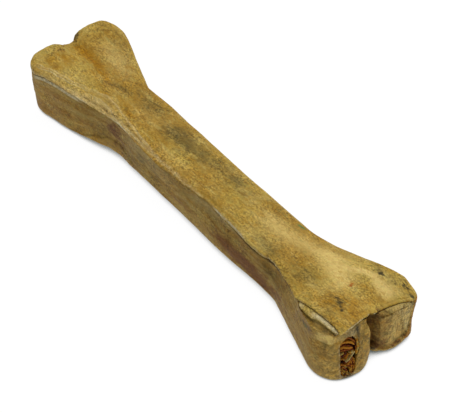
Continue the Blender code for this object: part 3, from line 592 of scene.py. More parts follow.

# The filling's tones, from the near-black painted shade of the gaps over dark red, orange-brown and yellow to
# olive and pale plies.
FILLING_TONES = (
    (0.0, "#1e0c04"), (0.14, "#3c1607"), (0.30, "#75300c"), (0.45, "#935211"), (0.60, "#a86b14"),
    (0.80, "#b67f20"), (0.92, "#9a8638"), (1.0, "#bfae76"))
FILLING_PATTERNS = {
    "patch": (1.3, (1.0, 1.0, 1.0), 4.0, 0.7, 0.5),
    "grain": (0.5, (1.0, 1.0, 1.0), 3.0, 0.7, 0.0),
}
FILLING_BANDS = {
    "burnt grain": ("grain", 0.55, 0.70, 0.0, 0.6),
    "roughness": ("patch", 0.3, 0.7, 0.5, 0.7),
}
BURNT_GRAIN = "#4a1c06"
FLOOR_SHADOW, FLOOR_WHITE, FLOOR_BASE = "#565c58", "#ffffff", "#404040"
FLOOR_CONTACT = 7.0

# The photograph's camera: its turn round the bone, its height and its roll in degrees, and its
# distance and what it aims at in metres. The sensor's width is in millimetres.
CAMERA_AZIMUTH = 55.3386
CAMERA_ELEVATION = 43.0367
CAMERA_ROLL = -2.4968
CAMERA_DISTANCE = 1.13899
CAMERA_AIM = (-0.00101, 0.00634, 0.0)
SENSOR_WIDTH = 36.0
# The light from above: how widely it is spread, and which way it shines. The floor: half its
# width, and how far it lies below the bone, in metres.
KEY_SPREAD = math.radians(50.0)
KEY_SHINES = (0.12, -0.42, -1.0)
FLOOR_HALF = 3.0
FLOOR_BELOW = 0.0001
# Edges of the hide sharper than this stay sharp.
SHARP_EDGE = math.radians(55.0)


def smooth(value):
    """An S-curve from 0 at 0 to 1 at 1."""
    value = np.clip(value, 0.0, 1.0)
    return value * value * (3.0 - 2.0 * value)


def rise(value, start, over):
    """An S-curve from 0 at the start to 1 that much further on."""
    return smooth((value - start) / over)


def fall(value, end, over):
    """An S-curve that comes down to 0 at the end, from 1 that much before it."""
    return smooth((end - value) / over)


def peak(value, centre, width):
    """A bell curve, 1 at its centre."""
    return np.exp(-((value - centre) / width) ** 2)


def through(table, place):
    """A smooth value read from a table of (place, value)."""
    places, values = np.array(table).T
    at = np.clip(np.searchsorted(places, place), 1, len(places) - 1)
    share = smooth((place - places[at - 1]) / (places[at] - places[at - 1]))
    return values[at - 1] + (values[at] - values[at - 1]) * share


def squared_circle(angles, power):
    """Points round a unit circle, or one that a power under 1 makes squarer."""
    cosine, sine = np.cos(angles), np.sin(angles)
    return np.sign(cosine) * np.abs(cosine) ** power, np.sign(sine) * np.abs(sine) ** power


def round_end(knuckle, angles):
    """Points on a knuckle's end, as u along the bone and v sideways."""
    square = np.where(angles > 0.0, knuckle["square"], knuckle["inside"])
    along, across = squared_circle(angles, np.where(np.cos(angles) > 0.0, 2.0 / square, 1.0))
    centre_u = knuckle["reach"] - knuckle["radius"]
    centre_v = knuckle["side"] - knuckle["radius"]
    return np.stack([centre_u + knuckle["radius"] * along, centre_v + knuckle["radius"] * across], axis=1)


def shaft_to_knuckle(knuckle):
    """The straight shaft side, the fillet and the flare, up to the knuckle's round end."""
    fillet, flare, half = knuckle["fillet"], knuckle["flare"], knuckle["half"]
    meets = round_end(knuckle, np.array([math.pi / 2 + flare]))[0]
    short = half + fillet * (1 - math.cos(flare)) - meets[1]
    fillet_u = meets[0] - fillet * math.sin(flare) + short / math.tan(flare)
    straight = np.linspace([0.0, half], [fillet_u, half], SHAFT_STATIONS, endpoint=False)
    turn = np.linspace(0.0, flare, FILLET_STATIONS)
    bend = np.stack([fillet_u + fillet * np.sin(turn), half + fillet * (1 - np.cos(turn))], axis=1)
    sloping = np.linspace(bend[-1], meets, FLARE_STATIONS + 2)[1:-1]
    return np.concatenate([straight, bend, sloping])


def along_line(corners, count):
    """Points spread evenly along straight lines through the corners, both ends included."""
    corners = np.array(corners)
    lengths = np.linalg.norm(np.diff(corners, axis=0), axis=1)
    reached = np.concatenate([[0.0], np.cumsum(lengths)])
    places = np.linspace(0.0, reached[-1], count)
    return np.column_stack([np.interp(places, reached, corners[:, axis]) for axis in (0, 1)])


def notch_angle(knuckle, notch):
    """Where a knuckle's inner side passes the bottom of a notch."""
    share = (notch - knuckle["reach"]) / knuckle["radius"] + 1.0
    return -math.acos(share ** (knuckle["inside"] / 2))


def quarter(end, side, notches=None, cut=False):
    """Plan of one quarter of the bone, from the middle of the shaft to the cleft's bottom."""
    knuckle = KNUCKLES[end, side]
    mouth = notch_angle(knuckle, TOP_NOTCH[end])
    outer = np.linspace(math.pi / 2 + knuckle["flare"], 0.0, OUTER_STATIONS, endpoint=False)
    inner = np.linspace(0.0, mouth, INNER_STATIONS, endpoint=False)
    before = np.concatenate([shaft_to_knuckle(knuckle), round_end(knuckle, np.concatenate([outer, inner]))])
    last = -math.pi / 2 if notches is None else notch_angle(knuckle, notches[end])
    cleft_side = round_end(knuckle, np.linspace(mouth, last, CLEFT_STATIONS * 3))
    across, along = np.array(END_CUT).T
    if cut and side == "left":
        corner = len(before) - len(inner) - len(outer) + int(np.argmax(outer < CUT_CORNER_ANGLE))
        start = int(np.argmax(before[:, 0] > SIDE_CUT[0][0]))
        places = np.linspace(SIDE_CUT[0][0], SIDE_CUT[-1][0], corner + 1 - start)
        before[start:corner + 1] = np.column_stack([places, np.interp(places, *np.array(SIDE_CUT).T)])
        places = np.linspace(SIDE_CUT[-1][1], 0.5, len(before) - corner, endpoint=False)
        before[corner:] = np.column_stack([np.interp(-places, across, along), places])
        cleft_side = np.array([[np.interp(-0.5, across, along), 0.5]])
    bottom = [cleft_side[-1, 0], 0.0]
    plan = np.concatenate([before, along_line([*cleft_side, bottom], CLEFT_STATIONS)])
    if cut and side == "right":
        at_end = plan[:, 0] > 95.0
        plan[at_end, 0] = np.minimum(plan[at_end, 0], np.interp(plan[at_end, 1], across, along))
    return plan


def chain(near_left, near_right, far_right, far_left):
    """Join four quarters' values into one closed row, from the left side's middle by the near end."""
    return np.concatenate([near_left, near_right[-2:0:-1], far_right[:-1], far_left[:0:-1]])


def whole_plan(notches=None, cut=False):
    """The bone's closed plan."""
    return chain(
        quarter("near", "left", notches, cut) * [1, -1],
        quarter("near", "right", notches, cut),
        quarter("far", "right", notches) * [-1, 1],
        quarter("far", "left", notches) * [-1, -1],
    )


def outward(plan):
    """The plan's outward normals, eased over a few stations."""
    along = np.zeros_like(plan)
    for step in (1, 2, 3):
        along += np.roll(plan, -step, axis=0) - np.roll(plan, step, axis=0)
    normals = np.stack([along[:, 1], -along[:, 0]], axis=1)
    return normals / np.maximum(np.linalg.norm(normals, axis=1, keepdims=True), 1e-9)


def knuckle_share(x):
    """0 along the shaft, 1 at the knuckles."""
    return rise(np.abs(x), THICKENS_FROM, THICKENS_TO - THICKENS_FROM)


def top_height(x, y):
    """Height of the pressed top surface over a plan point."""
    share = knuckle_share(x)
    thick = SHAFT_THICK + (KNUCKLE_THICK - SHAFT_THICK) * share
    height = MID_HEIGHT + thick / 2 - CROWN * (1 - share) * (y / CROWN_HALF) ** 2
    for end, sign in (("near", 1), ("far", -1)):
        valley = VALLEYS[end]
        fade = rise(sign * x, TOP_NOTCH[end] - valley["length"], valley["length"])
        height = height - valley["depth"] * fade * peak(y, valley["aside"], valley["half_width"])
    drop = CORNER_FALL
    outwards = np.hypot(x - drop["centre"][0], y - drop["centre"][1]) - drop["start"]
    at_corner = rise(x, drop["centre"][0], drop["over"])
    at_corner = at_corner * rise(y, drop["centre"][1] - drop["over"], drop["over"])
    return height - drop["depth"] * smooth(outwards / drop["over"]) * at_corner


def under_height(x):
    """Height of the pressed underside: flat under the knuckles and lifted along the shaft."""
    return SHAFT_LIFT * (1 - knuckle_share(x))


def strayed(plan):
    """A plan with the folded right side's strays along the shaft."""
    stray = np.where(plan[:, 1] > 0.0, through(RIGHT_WANDER, plan[:, 0]), 0.0)
    return plan + outward(plan) * stray[:, None]


def foot_offset(plan):
    """How far the wall's foot stands out past its top."""
    x, y = plan[:, 0], plan[:, 1]
    corner = CORNER_FOOT
    at_corner = rise(x, corner["start"][0], corner["over"][0])
    at_corner = at_corner * rise(y, corner["start"][1], corner["over"][1])
    left = through(LEFT_FOOT, x) * smooth(-(y + FLAP_FOOT["start"]) / FLAP_FOOT["over"])
    return np.where(y < 0.0, left, corner["depth"] * at_corner)


def end_draw(plan, normals):
    """How far the near left knuckle's wall draws back under the sheet's cut end."""
    turned = rise(normals[:, 0], END_TURN["start"], END_TURN["over"])
    return np.where((plan[:, 1] < 0.0) & (plan[:, 0] > 0.0), END_DRAW * turned, 0.0)


def spine(notches, cut=False):
    """For each station, the point on the centre line that its row of faces runs to."""
    centre = {}
    for end in ("near", "far"):
        left = quarter(end, "left", notches, cut and end == "near")[:, 0]
        right = quarter(end, "right", notches, cut and end == "near")[:, 0]
        start = len(left) - CLEFT_STATIONS - INNER_STATIONS - OUTER_STATIONS
        row = (left + right) / 2
        last = notches[end] - SPINE_INSET
        share = np.linspace(0.0, 1.0, len(row) - start)
        row[start:] = row[start] + (last - row[start]) * (1.0 - (1.0 - share) ** SPINE_EASE)
        centre[end] = row
    place = chain(centre["near"], centre["near"], -centre["far"], -centre["far"])
    return np.column_stack([place, np.zeros(len(place))])


def quarter_shares():
    """Along a quarter: where its round end and its cleft are, each rising from 0 to 1."""
    before = SHAFT_STATIONS + FILLET_STATIONS + FLARE_STATIONS
    turned = np.concatenate([np.zeros(before), np.linspace(0.0, 1.0, OUTER_STATIONS)])
    turned = np.concatenate([turned, np.ones(INNER_STATIONS + CLEFT_STATIONS)])
    easing = 5
    in_cleft = np.zeros(before + OUTER_STATIONS + INNER_STATIONS - easing)
    in_cleft = np.concatenate([in_cleft, smooth(np.linspace(0.0, 1.0, easing)), np.ones(CLEFT_STATIONS)])
    return turned, in_cleft


def seam_share():
    """How far each station's section shows the seam: all of it but for the folded right side."""
    turned, _ = quarter_shares()
    left = np.ones(len(turned))
    right = rise(turned, SEAM_BEGINS, SEAM_FULL - SEAM_BEGINS)
    return chain(left, right, right, left)


def cleft_share():
    """How far each station lies in a cleft, under the sheet that bridges it."""
    _, in_cleft = quarter_shares()
    return chain(in_cleft, in_cleft, in_cleft, in_cleft)


def ripple(points, size, seed, octaves=2):
    """Smooth noise about 0 at points in mm, with its period in mm, or one for each axis."""
    scaled = np.asarray(points, float) / np.asarray(size, float) + seed * 17.31
    return np.array([noise.fractal(Vector(point), 1.0, 2.0, octaves) for point in scaled])


def waves(points, table):
    """The sum of a table's waves: height in mm, period in mm, and seed."""
    return sum(height * ripple(points, period, seed) for height, period, seed in table)


def flat(points):
    """Points of a plane, with 0 for their third axis."""
    return np.column_stack([points, np.zeros(len(points))])


def distance_to_line(x, y, line):
    """How far plan points lie from a line given as y over x, positive towards +Y."""
    return y - through(line, x)


def hide_plans():
    """For each station round the hide, its lines in plan, and how its seam and foot lie."""
    sheet = strayed(whole_plan(TOP_NOTCH, cut=True))
    wall = strayed(whole_plan())
    under = strayed(whole_plan(UNDER_NOTCH))
    sheet_out, wall_out, under_out = outward(sheet), outward(wall), outward(under)
    seam = seam_share()[:, None]
    open_wall = 1.0 - cleft_share()[:, None]
    foot = foot_offset(wall)[:, None] * open_wall
    draw = end_draw(wall, wall_out)[:, None] * open_wall
    wall = wall - wall_out * draw
    flank = (wall[:, 1] < 0.0) * rise(wall[:, 0], *FLANK_ALONG) * rise(wall[:, 1], *FLANK_ACROSS)
    on_left = sheet[:, 1] < 0.0
    on_right = (sheet[:, 1] > 0.0)[:, None]

    # The sheet's edge strays, and it is torn a little.
    stray = np.where(on_left, through(SEAM_WANDER, sheet[:, 0]), 0.0)[:, None]
    torn = waves(flat(sheet), EDGE_TEARS)[:, None]
    edge = sheet + sheet_out * ((EDGE_OUT + torn) * seam + stray)
    between = wall + wall_out * stray - edge
    inward = np.maximum((between * wall_out).sum(axis=1), 0.0)[:, None] * open_wall

    drop = np.where(
        sheet[:, 0] < END_FROM, through(RIM_DROP_ALONG, wall[:, 0]), through(RIM_DROP_ACROSS, wall[:, 1]))
    drop = np.where((sheet[:, 0] > FOLD_OPENS_AT) & on_left, drop, RIM_DROP)[:, None]
    ply = EDGE_THICK + waves(flat(sheet), EDGE_THICKENS)
    ply = (ply + np.where(on_left, through(EDGE_HANGS, sheet[:, 0]), 0.0))[:, None]
    gap = np.where(on_left, through(SEAM_GAP, sheet[:, 0]), OTHER_GAP)[:, None]
    gape = (1.0 + waves(flat(sheet), GAP_VARIES))[:, None]
    # Where the rim lies close to the cut, the bare ply takes more of the way between them.
    ply_end = through(PLY_WIDTH, sheet[:, 0])[:, None] / np.maximum(inward, 0.1)
    ply_end = np.where(on_right, PLY_SHARE, np.clip(ply_end, *PLY_SHARES))
    return SimpleNamespace(
        sheet=sheet, wall=wall, under=under, sheet_out=sheet_out, wall_out=wall_out, under_out=under_out,
        seam=seam, open_wall=open_wall, foot=foot, draw=draw, flank=flank[:, None] * open_wall, stray=stray,
        edge=edge, between=between, opened=smooth(inward / OPEN_AT), drop=drop, ply=ply, gap=gap, gape=gape,
        ply_end=ply_end, on_right=on_right, sheet_z=top_height(sheet[:, 0], sheet[:, 1])[:, None])


def top_rings(at, first_turn):
    """Rings of the top, from its centre line out to the seam."""
    first_seam = at.edge - at.sheet_out * SEAM_SECTION[0][0][1]
    first_fold = at.sheet - at.sheet_out * FOLD_RADIUS * (1 - math.sin(first_turn))
    first = first_seam * at.seam + first_fold * (1 - at.seam)
    centre = spine(TOP_NOTCH, cut=True)
    for share in np.linspace(0.0, 1.0, TOP_RINGS, endpoint=False) ** TOP_SPACING:
        plan = centre + (first - centre) * share
        yield np.column_stack([plan, top_height(plan[:, 0], plan[:, 1])])


def seam_ring(at, closed, opening, turn):
    """A ring of the seam: shut along the sides, open at the cut, and a plain fold on the right."""
    shut_share, shut_in, shut_down = closed
    deep = shut_down > DEEP_SEAM["down"] and shut_in > DEEP_SEAM["inside"]
    reach = shut_in * (np.clip(at.gape, *GAPE_RANGE) if deep else 1.0)
    if shut_share > 0.05 or shut_in > DEEP_SEAM["inside"]:
        reach = reach * at.open_wall
    crevice = min(max(shut_down - PLY_UNDERSIDE, 0.0), CREVICE_FLOOR - PLY_UNDERSIDE)
    shut_low = min(shut_down, 1.0) * at.ply + max(shut_down - 1.0, 0.0) - crevice * (1 - at.gap)
    shut_out = at.sheet_out * (1 - shut_share) + at.wall_out * shut_share
    shut_plan = at.edge + at.between * shut_share - shut_out * reach

    share, wide_in, wide_down = opening
    if share < PLY_SHARE:
        share = share / PLY_SHARE * at.ply_end
    else:
        share = at.ply_end + (share - PLY_SHARE) / (1.0 - PLY_SHARE) * (1.0 - at.ply_end)
    shoulder = np.where(share > 0.0, 0.88 + 1.1 * share ** 2, wide_down)
    wide_low = np.where(at.on_right, np.minimum(wide_down, shoulder), wide_down)
    wide_low = wide_low + (at.drop - RIM_DROP) * smooth(share / 0.7)
    wide_out = at.sheet_out * (1 - share) + at.wall_out * share
    wide_plan = at.edge + at.between * share - wide_out * wide_in

    seam_plan = shut_plan * (1 - at.opened) + wide_plan * at.opened
    seam_z = at.sheet_z - (shut_low * (1 - at.opened) + wide_low * at.opened)
    fold_plan = at.sheet - at.sheet_out * FOLD_RADIUS * (1 - math.sin(turn))
    fold_z = at.sheet_z - FOLD_RADIUS * (1 - math.cos(turn))
    plan = seam_plan * at.seam + fold_plan * (1 - at.seam)
    return np.column_stack([plan, seam_z * at.seam + fold_z * (1 - at.seam)])


def wall_rings(at, high, low):
    """Rings down the wall, which swells a little and turns to the underside's plan at its foot."""
    bulge = WALL_BULGE * knuckle_share(at.wall[:, 0])[:, None] * at.open_wall
    for share in np.linspace(0.0, 1.0, WALL_RINGS + 1)[1:]:
        footed = smooth(share * 3 - 2)
        drawn = (1.0 - max(1.0 - share / DRAWN_TO, 0.0) ** 1.6) * (1 - footed)
        plan = at.wall * (1 - footed) + at.under * footed
        plan = plan + at.wall_out * bulge * math.sin(share * math.pi) ** 0.8
        plan = plan + at.wall_out * (
            at.foot * math.sin(min(share / DRAWN_TO, 1.0) * math.pi / 2) + at.draw * drawn)
        plan = plan + at.wall_out * (
            at.stray * (1 - smooth(share / STRAY_FADES)) + at.flank * through(FLANK_SWELL, share))
        yield np.column_stack([plan, high + (low - high) * share])


def under_rings(at, radius):
    """Rings round the foot's edge and over the underside to its centre line."""
    under = at.under + at.under_out * at.foot
    height = under_height(under[:, 0])
    for turn in np.radians(np.linspace(0.0, 90.0, UNDER_TURN_RINGS + 1)[1:]):
        plan = under - at.under_out * radius * (1 - math.cos(turn))
        yield np.column_stack([plan, height + radius[:, 0] * (1 - math.sin(turn))])
    flat_edge = under - at.under_out * radius
    centre = spine(UNDER_NOTCH)
    for share in np.linspace(1.0, 0.0, UNDER_RINGS + 1)[1:]:
        plan = centre + (flat_edge - centre) * share
        yield np.column_stack([plan, under_height(plan[:, 0])])


def hide_rings():
    """Rings right round the hide, what each is part of, and the stations they pass."""
    at = hide_plans()
    turns = np.radians(np.linspace(8.0, 90.0, len(SEAM_SECTION)))
    x, y = at.under.T
    rounder = rise(x, FOOT_ROUND["start"], FOOT_ROUND["over"]) * (y > 0.5)
    radius = (UNDER_RADIUS + rounder * through(FOOT_ROUND_ACROSS, np.clip(y, 0.5, 23.0)))[:, None]
    top = list(top_rings(at, turns[0]))
    seam = [seam_ring(at, *sections, turn) for sections, turn in zip(SEAM_SECTION, turns)]
    wall = list(wall_rings(at, seam[-1][:, 2], under_height(x) + radius[:, 0]))
    under = list(under_rings(at, radius))
    kinds = np.repeat(["top", "seam", "wall", "under"], [len(top), len(seam), len(wall), len(under)])
    return np.array(top + seam + wall + under), kinds, at


def tuck_relief(x, y, z):
    """How far the near right knuckle's tucked end lies behind the wrap's edge, less its flap."""
    on_end = rise(x, 97.5, 2.0) * rise(y, -3.0, 1.5)
    inside = smooth((through(TUCK_RIM, z) + 0.25 - y) / 0.5)
    above = smooth((z - through(TUCK_FLOOR, y)) / 0.5 + 0.5)
    flap = smooth((z - through(TUCK_FLAP, y)) / 0.4 + 0.5)
    return on_end * inside * above * (TUCK_DEPTH - TUCK_FLAP_HEIGHT * flap)


def lap_strip(x, y):
    """How much a plan point of the top belongs to the strip lapped over the far left."""
    begins, full, wanes, ends = LAP_FADES
    along = rise(x, begins, full - begins) * (1 - rise(x, wanes, ends - wanes))
    return along * smooth(-distance_to_line(x, y, LAP_LINE) / 0.7 + 0.5)


def grid_faces(ring_count, station_count):
    """Quads between neighbouring rings, wound to face outwards."""
    here = np.arange(station_count)
    after = (here + 1) % station_count
    first = np.arange(ring_count - 1)[:, None] * station_count
    quads = [first + after, first + here, first + station_count + here, first + station_count + after]
    return np.stack(quads, axis=-1).reshape(-1, 4)


def welded(points, faces):
    """Merge points that coincide, and drop the faces' repeated corners."""
    _, keep, to = np.unique(np.round(points, 3), axis=0, return_index=True, return_inverse=True)
    to = to.reshape(-1)
    merged = []
    for face in to[faces]:
        corners = list(dict.fromkeys(int(corner) for corner in face))
        if len(corners) > 2:
            merged.append(corners)
    return points[keep], merged, keep


def make_mesh(name, points, faces):
    """A mesh in metres from points in mm."""
    data = bpy.data.meshes.new(name)
    data.from_pydata((np.asarray(points) * MM).tolist(), [], faces)
    data.update()
    return data


def make_object(name, data, material=None):
    """An object of this mesh in the scene, with its material."""
    piece = bpy.data.objects.new(name, data)
    bpy.context.scene.collection.objects.link(piece)
    if material is not None:
        data.materials.append(material)
    return piece


def read_vectors(data, name):
    """Each point's place or normal, as three numbers."""
    values = np.empty(len(data.vertices) * 3)
    data.vertices.foreach_get(name, values)
    return values.reshape(-1, 3)


def vertex_points(data):
    """A mesh's points, in mm."""
    return read_vectors(data, "co") / MM


def set_points(data, points):
    """Move a mesh's points to these, in mm."""
    data.vertices.foreach_set("co", (points * MM).reshape(-1))
    data.update()


def read_mask(data, name):
    """A number that each point carries."""
    values = np.empty(len(data.vertices), np.float32)
    data.attributes[name].data.foreach_get("value", values)
    return values


def set_mask(data, name, values):
    """Give each point a number of this name."""
    attribute = data.attributes.new(name, "FLOAT", "POINT")
    attribute.data.foreach_set("value", np.asarray(values, np.float32))


def finished(piece, node):
    """Every piece rides on the body and stands for its node, whose frame part is hidden."""
    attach(piece, BODY)
    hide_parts(node)


def marks(table, along, aside):
    """The summed strength of a table's marks at points."""
    total = np.zeros(len(along))
    for centre_u, centre_v, size_u, size_v, degrees, strength in table:
        turn = math.radians(degrees)
        u, v = along - centre_u, aside - centre_v
        across = (u * math.cos(turn) + v * math.sin(turn)) / size_u
        down = (v * math.cos(turn) - u * math.sin(turn)) / size_v
        total += strength * np.exp(-(across ** 2 + down ** 2))
    return total


def hide_skin():
    """The hide's mesh before its relief, and what each of its points is part of."""
    rings, kinds, at = hide_rings()
    ring_count, station_count, _ = rings.shape
    points, faces, keep = welded(rings.reshape(-1, 3), grid_faces(ring_count, station_count))
    ring, station = keep // station_count, keep % station_count
    kind = kinds[ring]
    seam_rings = np.flatnonzero(kinds == "seam")
    skin = SimpleNamespace(
        points=points, x=points[:, 0], y=points[:, 1], z=points[:, 2],
        place=(ring - seam_rings[0]) / (len(seam_rings) - 1), past_seam=ring - seam_rings[-1],
        opened=at.opened[station, 0], seam=at.seam[station, 0], cleft=cleft_share()[station],
        flat_top=kind == "top", section=kind == "seam", bare_wall=kind == "wall", under=kind == "under")
    skin.top = skin.flat_top | skin.section & (skin.place < TOP_ENDS)
    skin.wall = skin.bare_wall | skin.section & (skin.place > WALL_BEGINS)
    skin.sewn = skin.section & (skin.seam > 0.5)
    skin.fold = skin.section & (skin.opened > 0.4)
    # The strip lapped over the far left of the top, and the underside's lap up the far left wall.
    skin.from_lap = -distance_to_line(skin.x, skin.y, LAP_LINE)
    skin.strip = np.where(skin.top, lap_strip(skin.x, skin.y), 0.0)
    skin.lap_z = through(UNDER_LAP, skin.x)
    lap_along = rise(skin.x, -82.0, 5.0) * (1 - rise(skin.x, -43.0, 6.0))
    skin.lap_on = lap_along * (skin.y < 0) * (skin.wall | skin.under)
    skin.lap = skin.lap_on * smooth((skin.lap_z - skin.z) / 0.5 + 0.5)
    return skin, make_mesh("hide", points, faces)


def zone(skin, name):
    """Which points lie in a zone of the seam's section."""
    low, high = SEAM_ZONES[name]
    return (skin.place > low) & (skin.place < high)


def hide_relief(skin):
    """How far each point stands out from the plain skin, in mm."""
    x, y, z = skin.x, skin.y, skin.z
    relief = waves(skin.points, SKIN_WAVES)
    relief += np.where(skin.wall, 0.10 * waves(skin.points, WALL_STREAKS), 0.0)
    # The lapped strip, with a second, lower edge along its middle.
    middle = smooth((skin.from_lap - 3.2) / 0.5 + 0.5) * skin.strip
    relief += LAP_HEIGHT * skin.strip * np.where(skin.flat_top, 1.0, 0.6) + 0.22 * middle * skin.flat_top
    # Fine wrinkles that fan over the near right lobe, and a shallow one round it.
    lobe = rise(x, 84.0, 8.0) * rise(y, 3.0, 5.0) * skin.flat_top
    fan_x, fan_y = LOBE_FAN["centre"]
    fanned = [np.arctan2(y - fan_y, x - fan_x) * LOBE_FAN["spread"], np.hypot(x - fan_x, y - fan_y), z]
    relief += LOBE_FAN["height"] * lobe * ripple(np.column_stack(fanned), LOBE_FAN["period"], 10)
    from_band = np.hypot((x - LOBE_BAND["x"]) / LOBE_BAND["stretch"], y - fan_y) - LOBE_BAND["radius"]
    beside_lobe = rise(y, 4.0, 4.0) * skin.flat_top
    relief -= 0.18 * peak(from_band, 1.8, 1.2) * beside_lobe
    relief += 0.15 * peak(from_band, 0.0, 1.6) * beside_lobe
    relief -= NEAR_DENT_DEPTH * marks(NEAR_DENT, x, y) * skin.top
    relief += UNDER_LAP_HEIGHT * skin.lap
    behind_sheet = np.where(skin.section, rise(skin.place, 0.30, 0.6), skin.bare_wall)
    relief -= tuck_relief(x, y, z) * behind_sheet
    # Nothing stands out below the floor, so the underside keeps only its hollows there.
    down = np.minimum(relief, 0.0)
    relief = np.where(skin.under, down + (relief - down) * smooth(z / 1.6), relief)
    return relief * np.where(skin.sewn & zone(skin, "calm"), 0.35, 1.0)


def seam_masks(skin, masks):
    """The seam's pale edges, with a painted highlight on its rounded lip, its bare plies, and painted shade
    in its crevices, its opened cut and below it.
    """
    x, y, points = skin.x, skin.y, skin.points
    at_left = y < -1.0
    shut = skin.opened < 0.5
    # A painted highlight along the seam's rounded lip on the top, uneven along it.
    highlight_and_pale = 0.12 + 0.7 * ripple(points, 9.0, 11) + marks(LIP_GLOW, x, y)
    masks["cream"] += skin.sewn * zone(skin, "lip") * np.clip(highlight_and_pale, 0.0, 1.1) * (y < 5.0)
    # The bare ply is cream. Its peak along the middle, with darker edges, is painted shading of its rounded
    # face, and the extra cream at its tip near x 80 is painted light where the tip lies in shade.
    bare_ply = skin.fold * at_left * zone(skin, "bare ply")
    masks["cream"] += bare_ply * (0.30 + 0.5 * peak(skin.place, 0.48, 0.07)) * rise(x, 83.0, 8.0)
    masks["cream"] += bare_ply * 0.5 * peak(x, 80.0, 2.2)
    notch = skin.sewn * zone(skin, "notch") * (x > 95.0)
    masks["cream"] += 0.7 * notch * (peak(y, -0.9, 0.5) + peak(y, 1.6, 0.5))
    # A painted highlight along the rounded left edge of the shaft's top.
    masks["cream"] += 0.35 * skin.top * peak(y, -10.6, 1.2) * rise(x, -60.0, 10.0) * (1 - rise(x, 30.0, 12.0))
    far_lip = skin.section * (skin.place > 0.82) * (y < -10.0)
    masks["cream"] += 0.8 * far_lip * rise(x, -98.0, 4.0) * (1 - rise(x, -76.0, 10.0))
    # A painted highlight on the rim's rounded top below the cut, towards the knuckle's end.
    rim_top = skin.fold & (skin.place > 0.86) | skin.bare_wall & (skin.past_seam < 4)
    masks["pale"] += 0.75 * rim_top * at_left * peak(x, 99.0, 4.0) * (y < -13.0)

    # Painted shade deep in the shut seam's crevice, stronger at the far left corner.
    crevice = 0.75 + 0.5 * ripple(points, 12.0, 14) + 0.4 * fall(x, -84.0, 4.0)
    masks["dark"] += skin.sewn * zone(skin, "crevice") * shut * crevice
    # Painted shade in the opened cut's slit and nook.
    masks["dark"] += 0.45 * skin.fold * at_left * zone(skin, "slit") + 0.5 * skin.fold * zone(skin, "nook")
    # Painted shade on the wall just below the sheet's overhanging edge, then a painted dark line below the
    # seam.
    below_seam = skin.bare_wall * np.exp(-skin.past_seam / 2.5) * shut * (skin.seam > 0.5)
    masks["dark"] += 0.22 * below_seam * (0.5 + ripple(points, 14.0, 13))
    line_below = skin.section * zone(skin, "line below") * at_left * shut
    line_below = line_below * rise(x, 10.0, 6.0) * (1 - rise(x, 66.0, 8.0))
    masks["dark"] += line_below * np.clip(0.40 + 0.7 * ripple(points, 10.0, 15), 0.1, 0.7)
    # Painted shade in the clefts.
    masks["dark"] += 0.18 * skin.cleft * (skin.wall | skin.section & (skin.place > 0.5))
    # Painted shade, in olive, in the recess between the cut and the rim.
    masks["olive"] += 0.5 * skin.fold * at_left * zone(skin, "shade")


def near_end_masks(skin, masks):
    """The near right knuckle's tucked end, its flap, its rim, and painted shade along the tucked end's folds
    and in the cleft beside it.
    """
    x, y, z = skin.x, skin.y, skin.z
    side = skin.wall | skin.under
    slope = through(TUCK_FLAP, y + 0.5) - through(TUCK_FLAP, y - 0.5)
    from_flap = (z - through(TUCK_FLAP, y)) / np.hypot(1.0, slope)
    rim_y = through(TUCK_RIM, z)
    tucked = rise(x, 99.0, 2.0) * (y > 0.5) * (y < rim_y) * (skin.wall | skin.fold & (skin.place > 0.34))
    # Painted shade along the flap's fold and just inside the rim, which the tucked end lies behind.
    masks["dark"] += tucked * (0.5 * peak(from_flap, -0.2, 0.35) + 0.4 * peak(rim_y - y, 0.25, 0.3))
    masks["pale"] += 0.30 * tucked
    masks["upright"] += tucked * (0.75 + 0.4 * smooth(from_flap / 0.8))
    masks["flap"] += tucked * smooth(from_flap / 0.8 + 0.2) * (
        0.55 + 0.35 * rise(y, 11.0, 3.0) + 0.25 * rise(z, 20.5, 2.5))
    masks["red"] += 0.5 * tucked * smooth(from_flap / 0.5) * marks(FLAP_BROWN, y, z)
    # Painted shade in the cleft beside the tucked end: darker towards the cleft, at the top and near the
    # foot. The red-brown there eases the painted shade into the face.
    cleft_side = rise(x, 96.0, 3.0) * (y > 0.3) * (skin.wall | skin.fold)
    masks["dark"] += cleft_side * (1 - rise(y, 0.5, 5.0)) * (
        0.12 + 0.45 * rise(z, 18.0, 5.0) + 0.35 * fall(z, 7.0, 5.0))
    masks["red"] += 0.55 * cleft_side * (1 - rise(y, 1.0, 9.0))
    floor_line = peak(z, through(TUCK_FLOOR, y), 0.5) * rise(x, 98.0, 2.0) * (y > -2.0) * (y < 17.5)
    near_edge = skin.sewn * zone(skin, "near edge") * (x > 95.0) * (y > 2.0)
    masks["red"] += 0.8 * (floor_line * side + near_edge)
    rim = rise(y, rim_y, 0.3) * rise(x, 97.0, 2.0) * fall(z, 24.0, 2.0) * side
    masks["rim"] += rim * (1.0 - rise(y - rim_y, 2.0, 1.5))
    masks["coarse"] += rise(x, 96.0, 4.0) * (skin.wall | skin.fold & (skin.place > 0.6))


def slot_masks(skin, masks):
    """The frayed and toasted hide round the slot of the near left knuckle."""
    x, y, z = skin.x, skin.y, skin.z
    at_slot = rise(x, 95.0, 3.0) * (y < -5.0) * (skin.wall | skin.under)
    under_slot = at_slot * peak(y, -14.0, 3.4) * fall(z, 4.2, 2.0)
    over_slot = at_slot * peak(y, -10.0, 4.4) * peak(z, 21.0, 2.2)
    beside_slot = at_slot * peak(y, -7.6, 1.2) * rise(z, 4.0, 4.0)
    torn_edge = skin.section * zone(skin, "torn edge") * (x > 98.0) * peak(y, -11.0, 3.0)
    masks["cream"] += 0.55 * under_slot + 0.5 * over_slot + 0.6 * torn_edge
    masks["soot"] += 0.75 * under_slot + 0.35 * beside_slot + 0.35 * over_slot
    masks["rust"] += 0.35 * under_slot


